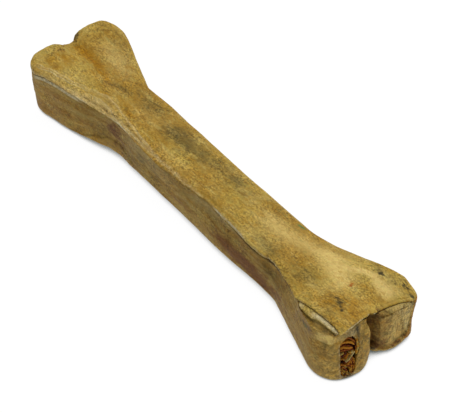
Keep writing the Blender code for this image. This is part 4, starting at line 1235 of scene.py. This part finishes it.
def hide_masks(skin):
    """Masks that the finish reads: each is 0 to about 1, but lap_run, which is in centimetres."""
    x, y, z = skin.x, skin.y, skin.z
    masks = {name: np.zeros(len(x)) for name in HIDE_MASKS}
    for name, table in TOP_MARKS.items():
        masks[name] += skin.top * marks(table, x, y)
    for name, table in WALL_MARKS.items():
        masks[name] += (y < 0) * skin.wall * marks(table, x, z)
    seam_masks(skin, masks)
    near_end_masks(skin, masks)
    slot_masks(skin, masks)
    masks["pale"] += skin.wall * (
        0.12 * rise(x, 74.0, 16.0) + 0.10 * rise(x, 99.0, 2.0) * (y < 0.0) + 0.12 * peak(x, 9.0, 13.0))
    masks["wall"] += np.where(skin.section, rise(skin.place, 0.55, 0.2), skin.bare_wall + 0.7 * skin.under)
    # A painted highlight along the strip's raised inner edge, and the strip paler further from that edge.
    highlight_and_pale = 0.4 * peak(skin.from_lap, 0.6, 0.6) + 0.55 * rise(skin.from_lap, 3.0, 3.0) * rise(x, -92.0, 20.0)
    masks["strip"] += skin.strip * (0.12 + highlight_and_pale)
    masks["lap_on"] += skin.strip
    masks["lap_run"] += 0.1 * skin.from_lap
    masks["orange"] += 0.35 * skin.lap
    masks["dark"] += 0.35 * skin.lap_on * peak(z, skin.lap_z, 0.35)
    return masks


def build_hide(props):
    """The hide's skin with its relief and masks, before the channel is cut."""
    skin, data = hide_skin()
    moved = skin.points + read_vectors(data, "normal") * (hide_relief(skin) * props.relief)[:, None]
    moved[:, 2] = np.maximum(moved[:, 2], 0.0)
    set_points(data, moved)
    for name, values in hide_masks(skin).items():
        set_mask(data, name, values)
    return data


def rounded_section(centre, width, height, inset, count=SECTION_POINTS):
    """A rounded rectangle in the YZ plane."""
    turn = np.linspace(-0.75 * math.pi, 1.25 * math.pi, count, endpoint=False)
    y, z = squared_circle(turn, 2.0 / CHANNEL_SQUARE)
    return np.array(centre) + np.stack([y * (width / 2 - inset), z * (height / 2 - inset)], axis=1)


def slot_section(inset, torn=0.0):
    """The slot's outline, sampled at the same turns as a rounded section."""
    outline = np.array(SLOT_OUTLINE)
    closed = np.concatenate([outline[-2:], outline, outline[:3]])
    centre = np.array(SLOT_CENTRE)
    # A Catmull-Rom curve through the outline's points.
    curve = []
    for before, start, stop, beyond in zip(closed[:-3], closed[1:-2], closed[2:-1], closed[3:]):
        for t in np.linspace(0.0, 1.0, 12, endpoint=False):
            square = 2 * before - 5 * start + 4 * stop - beyond
            cube = 3 * start - before - 3 * stop + beyond
            curve.append(0.5 * (2 * start + (stop - before) * t + square * t ** 2 + cube * t ** 3))
    y, z = (np.array(curve) - centre).T
    angle, radius = np.arctan2(z, y), np.hypot(y, z)
    order = np.argsort(angle)
    y, z = (rounded_section(centre, SLOT_WIDTH, SLOT_HEIGHT, 0.0) - centre).T
    turn = np.arctan2(z, y)
    reach = np.interp(turn, angle[order], radius[order], period=2 * math.pi)
    points = centre + np.stack([np.cos(turn), np.sin(turn)], axis=1) * (reach - inset)[:, None]
    if torn:
        rough = ripple(flat(points), 2.2, 21, 3)
        points = points + (points - centre) / reach[:, None] * (rough * torn)[:, None]
    return points


def section_at(x, section):
    """A section of the YZ plane placed along the bone: at one place, or at one for each point."""
    return np.column_stack([np.broadcast_to(x, len(section)), section])


def channel_rings(inset):
    """Sections of the channel from its blind end, in the far knuckles, to just behind the slot."""
    rings = []
    for x, y, z, width, height in CHANNEL:
        place = x + inset if x == CHANNEL[0][0] else x
        rings.append(section_at(place, rounded_section((y, z), width, height, inset)))
    return rings


def tube_mesh(name, rings):
    """A closed tube over rings of points, capped at both ends."""
    count = len(rings[0])
    points = np.concatenate(rings)
    faces = grid_faces(len(rings), count).tolist()
    faces.append(list(range(count)))
    faces.append(list(range(len(points) - count, len(points)))[::-1])
    data = make_mesh(name, points, faces)
    mesh = bmesh.new()
    mesh.from_mesh(data)
    bmesh.ops.recalc_face_normals(mesh, faces=mesh.faces)
    mesh.to_mesh(data)
    mesh.free()
    return data


def evaluated_mesh(piece):
    """The piece's mesh with its modifiers applied, as a plain mesh."""
    graph = bpy.context.evaluated_depsgraph_get()
    data = bpy.data.meshes.new_from_object(piece.evaluated_get(graph), depsgraph=graph)
    piece.modifiers.clear()
    return data


def mouth_x(y, z):
    """How far along the bone the near left knuckle's end wall lies."""
    knuckle = KNUCKLES["near", "left"]
    centre_y = knuckle["radius"] - knuckle["side"]
    aside = np.minimum(np.abs(y - centre_y) / knuckle["radius"], 1.0)
    square = np.where(y < centre_y, knuckle["square"], knuckle["inside"])
    along = (1.0 - aside ** square) ** (1.0 / square)
    lean = np.interp(z, *np.array(MOUTH_LEAN).T)
    return knuckle["reach"] - knuckle["radius"] + knuckle["radius"] * along + lean


def core_mesh():
    """The filling's long core, whose front lies behind the plies and is folded as they are."""
    section = slot_section(CORE_GAP + 0.1)
    rings = channel_rings(CORE_GAP)
    rings.append(section_at(SLOT_INNER_END, section))
    rings.append(section_at(mouth_x(*section.T) - CORE_RECESS - 0.6, section))
    centre = np.array(SLOT_CENTRE)
    for share in np.linspace(1.0, 0.0, CORE_FRONT_RINGS + 1)[1:]:
        inner = centre + (section - centre) * max(share, 0.01)
        folds = 0.5 * ripple(flat(inner), (1.6, 1.2, 1.0), 31)
        rings.append(section_at(mouth_x(*inner.T) - CORE_RECESS + folds, inner))
    return tube_mesh("rolled_core", rings)


def nearest_points(places, asked):
    """For each asked point, the nearest place's index and how far it lies."""
    tree = kdtree.KDTree(len(places))
    for index, place in enumerate(places):
        tree.insert(place, index)
    tree.balance()
    found = [tree.find(place) for place in asked]
    return np.array([item[1] for item in found]), np.array([item[2] for item in found])


def cut_channel(piece):
    """Cut the slot and the channel behind it out of the hide, and carry its masks over."""
    rings = channel_rings(0.0) + [section_at(x, slot_section(0.0, torn)) for x, torn in SLOT_RINGS]
    cutter = make_object("channel_cutter", tube_mesh("channel_cutter", rings))
    cut = piece.modifiers.new("channel", "BOOLEAN")
    cut.object = cutter
    cut.operation = "DIFFERENCE"
    cut.solver = "EXACT"
    before = piece.data
    masks = {name: read_mask(before, name) for name in HIDE_MASKS}
    data = evaluated_mesh(piece)
    bpy.data.objects.remove(cutter)
    nearest, away = nearest_points(vertex_points(before), vertex_points(data))
    inner = rise(away, 0.35, 0.5)
    x, y, z = vertex_points(data).T
    outline = slot_section(0.0)
    from_slot = np.full(len(x), 99.0)
    near = x > SLOT_INNER_END - 1.0
    from_slot[near] = np.hypot(y[near, None] - outline[:, 0], z[near, None] - outline[:, 1]).min(axis=1)
    behind = mouth_x(y, z) - x
    # The mouth's edge is toasted and worn pale, and the channel behind it gets painted shade, darker further
    # in.
    edge = peak(from_slot, 0.0, 0.7) * (behind < 0.9)
    toasted = {"orange": 0.45 * edge, "dark": 0.2 * edge, "cream": 0.45 * edge * fall(y, -15.8, 0.6)}
    inside = {"dark": inner * np.clip(0.35 + 0.2 * behind, 0.35, 0.9) * (behind > 0.9), "red": 0.8 * inner}
    for name, values in masks.items():
        if name in data.attributes:
            data.attributes.remove(data.attributes[name])
        values = values[nearest] * (1 - inner) + toasted.get(name, 0.0)
        set_mask(data, name, np.maximum(values, inside[name]) if name in inside else values)
    piece.data = data
    data.name = piece.name


def linear(hex_colour):
    """An sRGB hex colour as linear RGBA."""
    channels = [int(hex_colour[i:i + 2], 16) / 255 for i in (1, 3, 5)]
    return (*[c / 12.92 if c <= 0.04045 else ((c + 0.055) / 1.055) ** 2.4 for c in channels], 1.0)


def put(tree, kind, inputs=None, out=0, **settings):
    """Add a node with its settings and its inputs' values or links, and give one of its outputs."""
    added = tree.nodes.new(kind)
    for name, value in settings.items():
        setattr(added, name, value)
    for name, value in (inputs or {}).items():
        socket = added.inputs[name]
        if isinstance(value, bpy.types.NodeSocket):
            tree.links.new(value, socket)
        else:
            socket.default_value = value
    return added.outputs[out] if added.outputs else None


def new_material(name):
    """An empty material and its node tree."""
    material = bpy.data.materials.new(name)
    material.use_nodes = True
    material.node_tree.nodes.clear()
    return material, material.node_tree


def grow_patterns(tree, place, table):
    """A table's noises, by name."""
    grown_patterns = {}
    for name, (period, stretch, detail, roughness, distortion) in table.items():
        scale = tuple(1.0 / (period * MM * longer) for longer in stretch)
        stretched = put(tree, "ShaderNodeMapping", {"Vector": place, "Scale": scale})
        grown_patterns[name] = put(tree, "ShaderNodeTexNoise", {
            "Vector": stretched, "Scale": 1.0, "Detail": detail, "Roughness": roughness,
            "Distortion": distortion}, "Fac")
    return grown_patterns


def bands(tree, parts, table):
    """Each row's pattern, or mask, with a range of it smoothly mapped to another, by name."""
    return {
        name: put(tree, "ShaderNodeMapRange", dict(enumerate((parts[source], *band))),
                  interpolation_type="SMOOTHSTEP")
        for name, (source, *band) in table.items()}


def stains(tree, parts, table):
    """Masks whose edges a pattern breaks up, by name."""
    made = {}
    for name, (pattern, softness, reach, strength) in table.items():
        mask = parts[name + " mask"]
        stain = put(tree, "ShaderNodeMath", {0: parts[pattern], 1: 0.5}, operation="SUBTRACT")
        stain = put(tree, "ShaderNodeMath", {0: stain, 1: reach, 2: mask}, operation="MULTIPLY_ADD")
        shown = bands(tree, {"mask": mask, "stain": stain}, {
            "area": ("mask", 0.02, 0.12), "edge": ("stain", 0.5 - softness, 0.5 + softness)})
        stain = put(tree, "ShaderNodeMath", {0: shown["edge"], 1: shown["area"]}, operation="MULTIPLY")
        made[name + " stain"] = put(tree, "ShaderNodeMath", {0: stain, 1: strength}, operation="MULTIPLY")
    return made


def lay_coats(tree, ground, coats, parts, paints):
    """Lay coats over a ground. Each shows as far as its part, and the parts that limit it, say."""
    for laid, blend, part, *limits in coats:
        shown = parts.get(part, part)
        for limit in limits:
            shown = put(tree, "ShaderNodeMath", {0: shown, 1: parts[limit]}, operation="MULTIPLY")
        ground = put(tree, "ShaderNodeMix", {MIX_FACTOR: shown, MIX_UNDER: ground, MIX_OVER: paints[laid]},
                     MIX_RESULT, data_type="RGBA", blend_type=blend)
    return ground


def hide_material(paints):
    """Pressed rawhide: boiled, pressed and dried hide, so it is waxy, mottled and a little glassy."""
    material, tree = new_material("pressed_rawhide_dried")
    place = put(tree, "ShaderNodeTexCoord", out="Object")
    parts = grow_patterns(tree, place, HIDE_PATTERNS)
    for name in HIDE_MASKS:
        parts[name + " mask"] = put(tree, "ShaderNodeAttribute", out="Fac", attribute_name=name)
    speckle = put(tree, "ShaderNodeMath", {0: parts["blotch"], 1: parts["fleck"]}, operation="ADD")
    parts["speckle"] = put(tree, "ShaderNodeMath", {0: speckle, 1: 0.5}, operation="MULTIPLY")
    # Fine lines that run with the lapped strip, from its distance to the strip's inner line.
    along = put(tree, "ShaderNodeSeparateXYZ", {0: place})
    along = put(tree, "ShaderNodeMath", {0: along, 1: LINES_ALONG}, operation="MULTIPLY")
    aside = put(tree, "ShaderNodeMath", {0: parts["lap_run mask"], 1: LINES_ASIDE}, operation="MULTIPLY")
    on_strip = put(tree, "ShaderNodeCombineXYZ", {0: along, 1: aside})
    parts["lines"] = put(tree, "ShaderNodeTexNoise", {"Vector": on_strip, "Scale": 1.0, "Detail": 2.0}, "Fac")
    parts.update(bands(tree, parts, HIDE_BANDS))
    parts.update(stains(tree, parts, HIDE_STAINS))

    paints = {**paints, **{name: parts[name] for name in HIDE_SHADES}}
    top = lay_coats(tree, paints["tan"], TOP_COATS, parts, paints)
    paints["wall coat"] = lay_coats(tree, paints["wall_brown"], WALL_COATS, parts, paints)
    base = lay_coats(tree, top, HIDE_COATS, parts, paints)

    height = put(tree, "ShaderNodeMath", {0: parts["fleck"], 1: 0.5, 2: parts["blotch"]},
                 operation="MULTIPLY_ADD")
    height = put(tree, "ShaderNodeMath", {0: parts["fibre"], 1: 0.5, 2: height}, operation="MULTIPLY_ADD")
    bump = put(tree, "ShaderNodeBump", {"Strength": 0.35, "Distance": 0.3 * MM, "Height": height})
    shader = put(tree, "ShaderNodeBsdfPrincipled", {
        "Base Color": base, "Roughness": parts["roughness"], "IOR": HIDE_IOR, "Normal": bump,
        "Subsurface Weight": 0.06, "Subsurface Radius": (1.0, 0.5, 0.2), "Subsurface Scale": 0.8 * MM,
        "Specular IOR Level": 0.14,
    })
    put(tree, "ShaderNodeOutputMaterial", {"Surface": shader})
    return material


def filling_material():
    """Rolled rawhide toasted in the slot: darker and redder, with yellow plies and near-black gaps of painted
    shade.
    """
    material, tree = new_material("toasted_rawhide_rolled")
    place = put(tree, "ShaderNodeTexCoord", out="Object")
    parts = grow_patterns(tree, place, FILLING_PATTERNS)
    parts.update(bands(tree, parts, FILLING_BANDS))
    tone = put(tree, "ShaderNodeAttribute", out="Fac", attribute_name="tone")
    shifted = put(tree, "ShaderNodeMath", {0: parts["patch"], 1: 0.5}, operation="SUBTRACT")
    shifted = put(tree, "ShaderNodeMath", {0: shifted, 1: 1.2, 2: tone}, operation="MULTIPLY_ADD")
    ramp = put(tree, "ShaderNodeValToRGB", {0: shifted})
    stops = ramp.node.color_ramp.elements
    for at, colour in FILLING_TONES[1:-1]:
        stops.new(at).color = linear(colour)
    stops[0].color = linear(FILLING_TONES[0][1])
    stops[-1].color = linear(FILLING_TONES[-1][1])
    base = lay_coats(tree, ramp, (("burnt", "MIX", "burnt grain"),), parts, {"burnt": linear(BURNT_GRAIN)})
    bump = put(tree, "ShaderNodeBump", {"Strength": 0.5, "Distance": 0.2 * MM, "Height": parts["grain"]})
    shader = put(tree, "ShaderNodeBsdfPrincipled", {
        "Base Color": base, "Roughness": parts["roughness"], "IOR": HIDE_IOR, "Normal": bump,
        "Specular IOR Level": 0.12,
    })
    put(tree, "ShaderNodeOutputMaterial", {"Surface": shader})
    return material


def floor_material(glow):
    """A white studio floor that glows evenly, its glow darkened to a painted contact shadow where something
    nearly touches it.
    """
    material, tree = new_material("studio_floor_lit_white")
    contact = put(tree, "ShaderNodeAmbientOcclusion", {"Distance": FLOOR_CONTACT * MM}, "AO", samples=16)
    lit = bands(tree, {"contact": contact}, {"lit": ("contact", 0.12, 0.55)})
    paints = {"white": linear(FLOOR_WHITE)}
    light = lay_coats(tree, linear(FLOOR_SHADOW), (("white", "MIX", "lit"),), lit, paints)
    shader = put(tree, "ShaderNodeBsdfPrincipled", {
        "Base Color": linear(FLOOR_BASE), "Roughness": 0.9, "Specular IOR Level": 0.0,
        "Emission Color": light, "Emission Strength": glow,
    })
    put(tree, "ShaderNodeOutputMaterial", {"Surface": shader})
    return material


def geometry_tree(name, inputs):
    """A Geometry Nodes tree with a geometry socket at each end and named number inputs."""
    tree = bpy.data.node_groups.new(name, "GeometryNodeTree")
    tree.interface.new_socket("Geometry", in_out="INPUT", socket_type="NodeSocketGeometry")
    for label, (kind, value) in inputs.items():
        tree.interface.new_socket(label, in_out="INPUT", socket_type=kind).default_value = value
    tree.interface.new_socket("Geometry", in_out="OUTPUT", socket_type="NodeSocketGeometry")
    return tree, put(tree, "NodeGroupInput").node.outputs


def roughened(tree, geometry, scale, detail, reach):
    """Move a geometry's points about by noise, as far as the reach says."""
    moved = put(tree, "ShaderNodeTexNoise", {"Scale": scale, "Detail": detail}, "Color")
    moved = put(tree, "ShaderNodeVectorMath", {0: moved, 1: (0.5, 0.5, 0.5)}, operation="SUBTRACT")
    moved = put(tree, "ShaderNodeVectorMath", {0: moved, "Scale": reach}, operation="SCALE")
    return put(tree, "GeometryNodeSetPosition", {"Geometry": geometry, "Offset": moved})


def finish_tree(tree, geometry, material):
    """End a tree in real geometry with its material."""
    whole = put(tree, "GeometryNodeRealizeInstances", {"Geometry": geometry})
    dressed = put(tree, "GeometryNodeSetMaterial", {"Geometry": whole, "Material": material})
    put(tree, "NodeGroupOutput", {"Geometry": dressed})


def ply_tree(material):
    """Ribbons along the plies' lines: a rounded strip of each ply's thickness, uneven like hide."""
    number = "NodeSocketFloat"
    tree, given = geometry_tree("rolled_plies", {
        "Depth": (number, PLY_DEPTH * MM), "Step": (number, PLY_STEP * MM),
        "Unevenness": (number, PLY_UNEVENNESS * MM)})
    curve = put(tree, "GeometryNodeMeshToCurve", {"Mesh": given["Geometry"]})
    curve = put(tree, "GeometryNodeCurveSplineType", {"Curve": curve}, spline_type="CATMULL_ROM")
    curve = put(tree, "GeometryNodeResampleCurve", {"Curve": curve, "Length": given["Step"]}, mode="LENGTH")
    # A ply thins towards both ends of its line.
    factor = put(tree, "GeometryNodeSplineParameter", out="Factor")
    turned = put(tree, "ShaderNodeMath", {0: factor, 1: math.pi}, operation="MULTIPLY")
    taper = put(tree, "ShaderNodeMath", {0: turned}, operation="SINE")
    taper = put(tree, "ShaderNodeMapRange", {0: taper, 1: 0.0, 2: 0.5, 3: PLY_END_SHARE, 4: 1.0})
    thick = put(tree, "GeometryNodeInputNamedAttribute", {"Name": "thick"}, "Attribute", data_type="FLOAT")
    tapered = put(tree, "ShaderNodeMath", {0: thick, 1: taper}, operation="MULTIPLY")
    curve = put(tree, "GeometryNodeStoreNamedAttribute", {
        "Geometry": curve, "Name": "width", "Value": tapered}, data_type="FLOAT", domain="POINT")
    width = put(tree, "GeometryNodeInputNamedAttribute", {"Name": "width"}, "Attribute", data_type="FLOAT")
    profile = put(tree, "GeometryNodeCurvePrimitiveQuadrilateral", {"Width": given["Depth"], "Height": MM})
    profile = put(tree, "GeometryNodeFilletCurve", {"Curve": profile, "Radius": 0.35 * MM, "Count": 4},
                  mode="POLY")
    profile = put(tree, "GeometryNodeResampleCurve", {"Curve": profile, "Length": 0.3 * MM}, mode="LENGTH")
    ribbon = put(tree, "GeometryNodeCurveToMesh", {
        "Curve": curve, "Profile Curve": profile, "Scale": width, "Fill Caps": True})
    # The width scales the whole profile, so the depth is divided by it again.
    place = put(tree, "GeometryNodeInputPosition")
    x, y, z = put(tree, "ShaderNodeSeparateXYZ", {0: place}).node.outputs
    depth = put(tree, "ShaderNodeMath", {0: x, 1: width}, operation="DIVIDE")
    straight = put(tree, "ShaderNodeCombineXYZ", {0: depth, 1: y, 2: z})
    ribbon = put(tree, "GeometryNodeSetPosition", {"Geometry": ribbon, "Position": straight})
    finish_tree(tree, roughened(tree, ribbon, 900.0, 2.0, given["Unevenness"]), material)
    return tree


def crumb_tree(material):
    """Crumbs strewn over the slot's foot, each a rough pebble with a tone of its own."""
    number, whole = "NodeSocketFloat", "NodeSocketInt"
    tree, given = geometry_tree("filling_crumbs", {
        "Density": (number, CRUMB_DENSITY), "Size": (number, CRUMB_SIZE * MM), "Seed": (whole, CRUMB_SEED)})
    points = put(tree, "GeometryNodeDistributePointsOnFaces", {
        "Mesh": given["Geometry"], "Density": given["Density"], "Seed": given["Seed"]},
        "Points", distribute_method="RANDOM")
    tone, turn, size = (
        put(tree, "FunctionNodeRandomValue", inputs, "Value", data_type=kind) for kind, inputs in (
            ("FLOAT", {"Min": 0.1, "Max": 1.0, "Seed": given["Seed"]}),
            ("FLOAT_VECTOR", {"Max": (6.3, 6.3, 6.3), "Seed": 3}),
            ("FLOAT_VECTOR", {"Min": (0.5, 0.5, 0.5), "Max": (1.5, 1.3, 1.1), "Seed": 5})))
    points = put(tree, "GeometryNodeStoreNamedAttribute", {
        "Geometry": points, "Name": "tone", "Value": tone}, data_type="FLOAT", domain="POINT")
    pebble = put(tree, "GeometryNodeMeshIcoSphere", {"Radius": given["Size"], "Subdivisions": 2})
    pebble = roughened(tree, pebble, 2600.0, 1.0, 0.9 * MM)
    strewn = put(tree, "GeometryNodeInstanceOnPoints", {
        "Points": points, "Instance": pebble, "Rotation": turn, "Scale": size})
    finish_tree(tree, strewn, material)
    return tree


def grown(piece, tree, settings):
    """The piece's mesh once the tree has run on it with these settings."""
    growth = piece.modifiers.new(tree.name, "NODES")
    growth.node_group = tree
    for socket in tree.interface.items_tree:
        if socket.in_out == "INPUT" and socket.name in settings:
            growth[socket.identifier] = settings[socket.name]
    return evaluated_mesh(piece)


def ply_lines():
    """The plies' lines as bare edges that carry each ply's thickness, tone and recess."""
    points, edges, values = [], [], []
    for thick, tone, recess, line in PLIES:
        first = len(points)
        points += [(0.0, y, z) for y, z in line]
        edges += [(first + step, first + step + 1) for step in range(len(line) - 1)]
        values += [(thick, tone, recess)] * len(line)
    data = bpy.data.meshes.new("ply_lines")
    data.from_pydata((np.array(points) * MM).tolist(), edges, [])
    for name, column in zip(("thick", "tone", "recess"), np.array(values).T):
        set_mask(data, name, column)
    return data


def crumb_ground():
    """The patches of the mouth where crumbs lie, in the YZ plane."""
    points, faces = [], []
    for low_y, low_z, high_y, high_z in CRUMB_PATCHES:
        faces.append([len(points) + corner for corner in range(4)])
        points += [(0.0, low_y, low_z), (0.0, high_y, low_z), (0.0, high_y, high_z), (0.0, low_y, high_z)]
    return make_mesh("crumb_ground", points, faces)


def paint(name, shade, description):
    """A colour to be chosen, whose default is an sRGB hex value."""
    return bpy.props.FloatVectorProperty(
        name=name, description=description, default=linear(shade), size=4, min=0.0, max=1.0, subtype="COLOR")


def plain_number(name, default, description):
    """A plain number of 0 or more."""
    return bpy.props.FloatProperty(name=name, default=default, min=0.0, description=description)


def length(name, default, most, description):
    """A length in mm, kept in metres."""
    return bpy.props.FloatProperty(
        name=name, default=default * MM, min=0.05 * MM, max=most * MM, unit="LENGTH", description=description)


class RawhideHideProperties(bpy.types.PropertyGroup):
    relief: plain_number("Relief", 1.0, "How strongly the hide's puckers, laps and streaks stand out")


class RawhidePaints(bpy.types.PropertyGroup):
    yellow: paint("Yellow", "#ab9040", "The hide's common yellow")
    tan: paint("Tan", "#9c7a2e", "The hide's warmer tan")
    golden: paint("Golden", "#9b751f", "Where the hide dried golden")
    straw: paint("Straw", "#b9a057", "Where the hide dried pale")
    # Pale: pale patches, and the painted highlights on the near right lobe's crown and on the rim below the
    # cut.
    pale: paint("Pale", "#d3b76c", "Pale patches on the flare and the lobe")
    # Cream: worn edges and bare plies, and the painted highlights on the seam's rounded lip and the strip's
    # inner edge.
    cream: paint("Cream", "#bcb089", "Worn edges and bare plies")
    orange: paint("Orange", "#986c0c", "Toasted patches in the valleys")
    # Olive: smudges, and painted shade in the recess below the cut and on the wall under it.
    olive: paint("Olive", "#453d1c", "Green-black smudges along the shaft")
    # Soot: smudges, and painted shade along the far right lobe's inner flank.
    soot: paint("Soot", "#2c2612", "Grey-black smudges")
    rust: paint("Rust", "#9c5814", "Small rust-brown spots")
    # Green: a mark on the shaft, and painted shade on the wall under the cut.
    green: paint("Green", "#4d6a35", "Two small green marks")
    # Red-brown: sheet edges and the wall's stained patches, and the brown edge of the painted shade in the
    # near cleft.
    red: paint("Red-brown", "#623510", "Sheet edges and the wall's stained patches")
    brown: paint("Brown", "#b59860", "What the mottles and flecks are multiplied by")
    wall_tan: paint("Wall tan", "#9a7c36", "The walls' common colour")
    wall_brown: paint("Wall brown", "#8a6824", "The walls' warmer brown")
    wall_dark: paint("Wall dark", "#7a5c22", "The walls' darker patches")
    wall_grey: paint("Wall grey", "#98814a", "The walls' dry, greyer streaks")
    strip: paint("Strip", "#c0aa74", "The strip lapped over the far left of the top")
    flap: paint("Flap", "#ab9860", "The pale flap folded behind the near right knuckle's rim")
    rim: paint("Rim", "#8f6119", "The near right knuckle's toasted rim")
    moss: paint("Moss", "#968f4a", "The faint green of the thinner mottles")
    # Crevice: the colour of the painted shade in the seam, the clefts and the channel.
    crevice: paint("Crevice", "#24170b", "Deep in the seam and the clefts")


class RawhideFillingProperties(bpy.types.PropertyGroup):
    step: length("Step", PLY_STEP, 1.0, "Length of the steps along each ply in the slot")
    unevenness: length("Unevenness", PLY_UNEVENNESS, 2.0, "How far the plies' surfaces stray")
    crumb: length("Crumb", CRUMB_SIZE, 1.0, "A crumb's radius")
    crumb_density: plain_number("Crumb density", CRUMB_DENSITY, "Crumbs to a square metre")
    seed: bpy.props.IntProperty(name="Seed", default=CRUMB_SEED, description="Seed of the crumbs")


class RawhideStageProperties(bpy.types.PropertyGroup):
    lens: bpy.props.FloatProperty(
        name="Lens", default=225.92, min=1.0, unit="CAMERA", description="The camera's lens, in millimetres")
    key_strength: plain_number("Key", 2.4, "Strength of the light from above")
    sky_strength: plain_number("Sky", 0.3, "Strength of the light all round")
    floor_glow: plain_number("Floor glow", 0.98, "The floor's own light")


class BONE_OT_hide_wrap(bpy.types.Operator):
    """Make the wrapped hide with its seam, its tucked ends and its stains"""
    bl_idname = "bone.hide_wrap"
    bl_label = "Hide wrap"

    def execute(self, context):
        chosen = context.scene.rawhide_paints
        paints = {name: getattr(chosen, name) for name in RawhidePaints.__annotations__}
        data = build_hide(context.scene.rawhide_hide)
        piece = make_object("hide_wrap_dressed", data, hide_material(paints))
        cut_channel(piece)
        piece.data.shade_smooth()
        piece.data.set_sharp_from_angle(angle=SHARP_EDGE)
        finished(piece, "hide_wrap")
        return {"FINISHED"}


class BONE_OT_rolled_filling(bpy.types.Operator):
    """Make the roll of rawhide that runs through the bone, and its plies in the slot"""
    bl_idname = "bone.rolled_filling"
    bl_label = "Rolled filling"

    def execute(self, context):
        props = context.scene.rawhide_filling
        material = filling_material()
        core = core_mesh()
        set_mask(core, "tone", np.full(len(core.vertices), CORE_TONE))
        core.shade_smooth()
        finished(make_object("rolled_core", core, material), "rolled_filling")

        plies = make_object("rolled_plies", ply_lines())
        plies.data = grown(plies, ply_tree(material), {
            "Depth": PLY_DEPTH * MM, "Step": props.step, "Unevenness": props.unevenness})
        crumbs = make_object("filling_crumbs", crumb_ground())
        crumbs.data = grown(crumbs, crumb_tree(material), {
            "Density": props.crumb_density, "Size": props.crumb, "Seed": props.seed})
        # Both were made in the YZ plane, and are moved out to the slot's mouth.
        recess = read_mask(plies.data, "recess") + PLY_DEPTH / 2
        for piece, behind in ((plies, recess), (crumbs, CRUMB_RECESS)):
            points = vertex_points(piece.data)
            points[:, 0] += mouth_x(points[:, 1], points[:, 2]) - behind
            set_points(piece.data, points)
            finished(piece, "rolled_filling")
        plies.data.shade_smooth()
        return {"FINISHED"}


def add_to_scene(name, data, place):
    """A camera or light in the scene, at a matrix."""
    added = bpy.data.objects.new(name, data)
    added.matrix_world = place
    bpy.context.scene.collection.objects.link(added)
    return added


def camera_place():
    """Where the photograph's camera stands, and how it is turned."""
    azimuth, elevation, roll = map(math.radians, (CAMERA_AZIMUTH, CAMERA_ELEVATION, CAMERA_ROLL))
    level = math.cos(elevation)
    back = Vector((math.sin(azimuth) * level, -math.cos(azimuth) * level, math.sin(elevation)))
    right = Vector((math.cos(azimuth), math.sin(azimuth), 0.0))
    up = back.cross(right)
    turned_right = math.cos(roll) * right + math.sin(roll) * up
    turned_up = math.cos(roll) * up - math.sin(roll) * right
    axes = Matrix((turned_right, turned_up, back)).transposed().to_4x4()
    return Matrix.Translation(Vector(CAMERA_AIM) + back * CAMERA_DISTANCE) @ axes


class BONE_OT_studio(bpy.types.Operator):
    """Set the floor, the light and the camera"""
    bl_idname = "bone.studio"
    bl_label = "Studio"

    def execute(self, context):
        props = context.scene.rawhide_stage
        half = FLOOR_HALF
        floor_data = bpy.data.meshes.new("studio_floor")
        corners = [(-half, -half, 0.0), (half, -half, 0.0), (half, half, 0.0), (-half, half, 0.0)]
        floor_data.from_pydata(corners, [], [(0, 1, 2, 3)])
        floor = make_object("studio_floor", floor_data, floor_material(props.floor_glow))
        floor.location.z = -FLOOR_BELOW

        camera = bpy.data.cameras.new("photo_camera")
        camera.sensor_width = SENSOR_WIDTH
        camera.sensor_fit = "HORIZONTAL"
        camera.lens = props.lens
        context.scene.camera = add_to_scene("photo_camera", camera, camera_place())

        key = bpy.data.lights.new("overhead_light", "SUN")
        key.energy = props.key_strength
        key.angle = KEY_SPREAD
        add_to_scene("overhead_light", key, Vector(KEY_SHINES).to_track_quat("-Z", "Y").to_matrix().to_4x4())

        world = bpy.data.worlds.new("studio_sky")
        world.use_nodes = True
        sky = world.node_tree.nodes["Background"]
        sky.inputs["Color"].default_value = (1.0, 1.0, 1.0, 1.0)
        sky.inputs["Strength"].default_value = props.sky_strength
        context.scene.world = world
        context.scene.view_settings.view_transform = "Standard"
        return {"FINISHED"}


OPERATORS = (
    (BONE_OT_hide_wrap, ("rawhide_hide", "rawhide_paints")),
    (BONE_OT_rolled_filling, ("rawhide_filling",)),
    (BONE_OT_studio, ("rawhide_stage",)),
)


class BONE_PT_panel(bpy.types.Panel):
    """Lists the bone's pieces and their sizes and colours"""
    bl_idname = "BONE_PT_panel"
    bl_label = "Rawhide bone"
    bl_space_type = "VIEW_3D"
    bl_region_type = "UI"
    bl_category = "Rawhide bone"

    def draw(self, context):
        for operator, groups in OPERATORS:
            box = self.layout.box()
            for group in groups:
                for name in GROUPS[group].__annotations__:
                    box.prop(getattr(context.scene, group), name)
            box.operator(operator.bl_idname)


GROUPS = {
    "rawhide_hide": RawhideHideProperties,
    "rawhide_paints": RawhidePaints,
    "rawhide_filling": RawhideFillingProperties,
    "rawhide_stage": RawhideStageProperties,
}
CLASSES = (*GROUPS.values(), *[operator for operator, _ in OPERATORS], BONE_PT_panel)


def register():
    for item in CLASSES:
        bpy.utils.register_class(item)
    for name, group in GROUPS.items():
        setattr(bpy.types.Scene, name, bpy.props.PointerProperty(type=group))


def unregister():
    for name in GROUPS:
        delattr(bpy.types.Scene, name)
    for item in reversed(CLASSES):
        bpy.utils.unregister_class(item)


def main():
    """Register the add-on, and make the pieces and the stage."""
    register()
    bpy.ops.bone.hide_wrap()
    bpy.ops.bone.rolled_filling()
    bpy.ops.bone.studio()


if __name__ == "__main__":
    main()
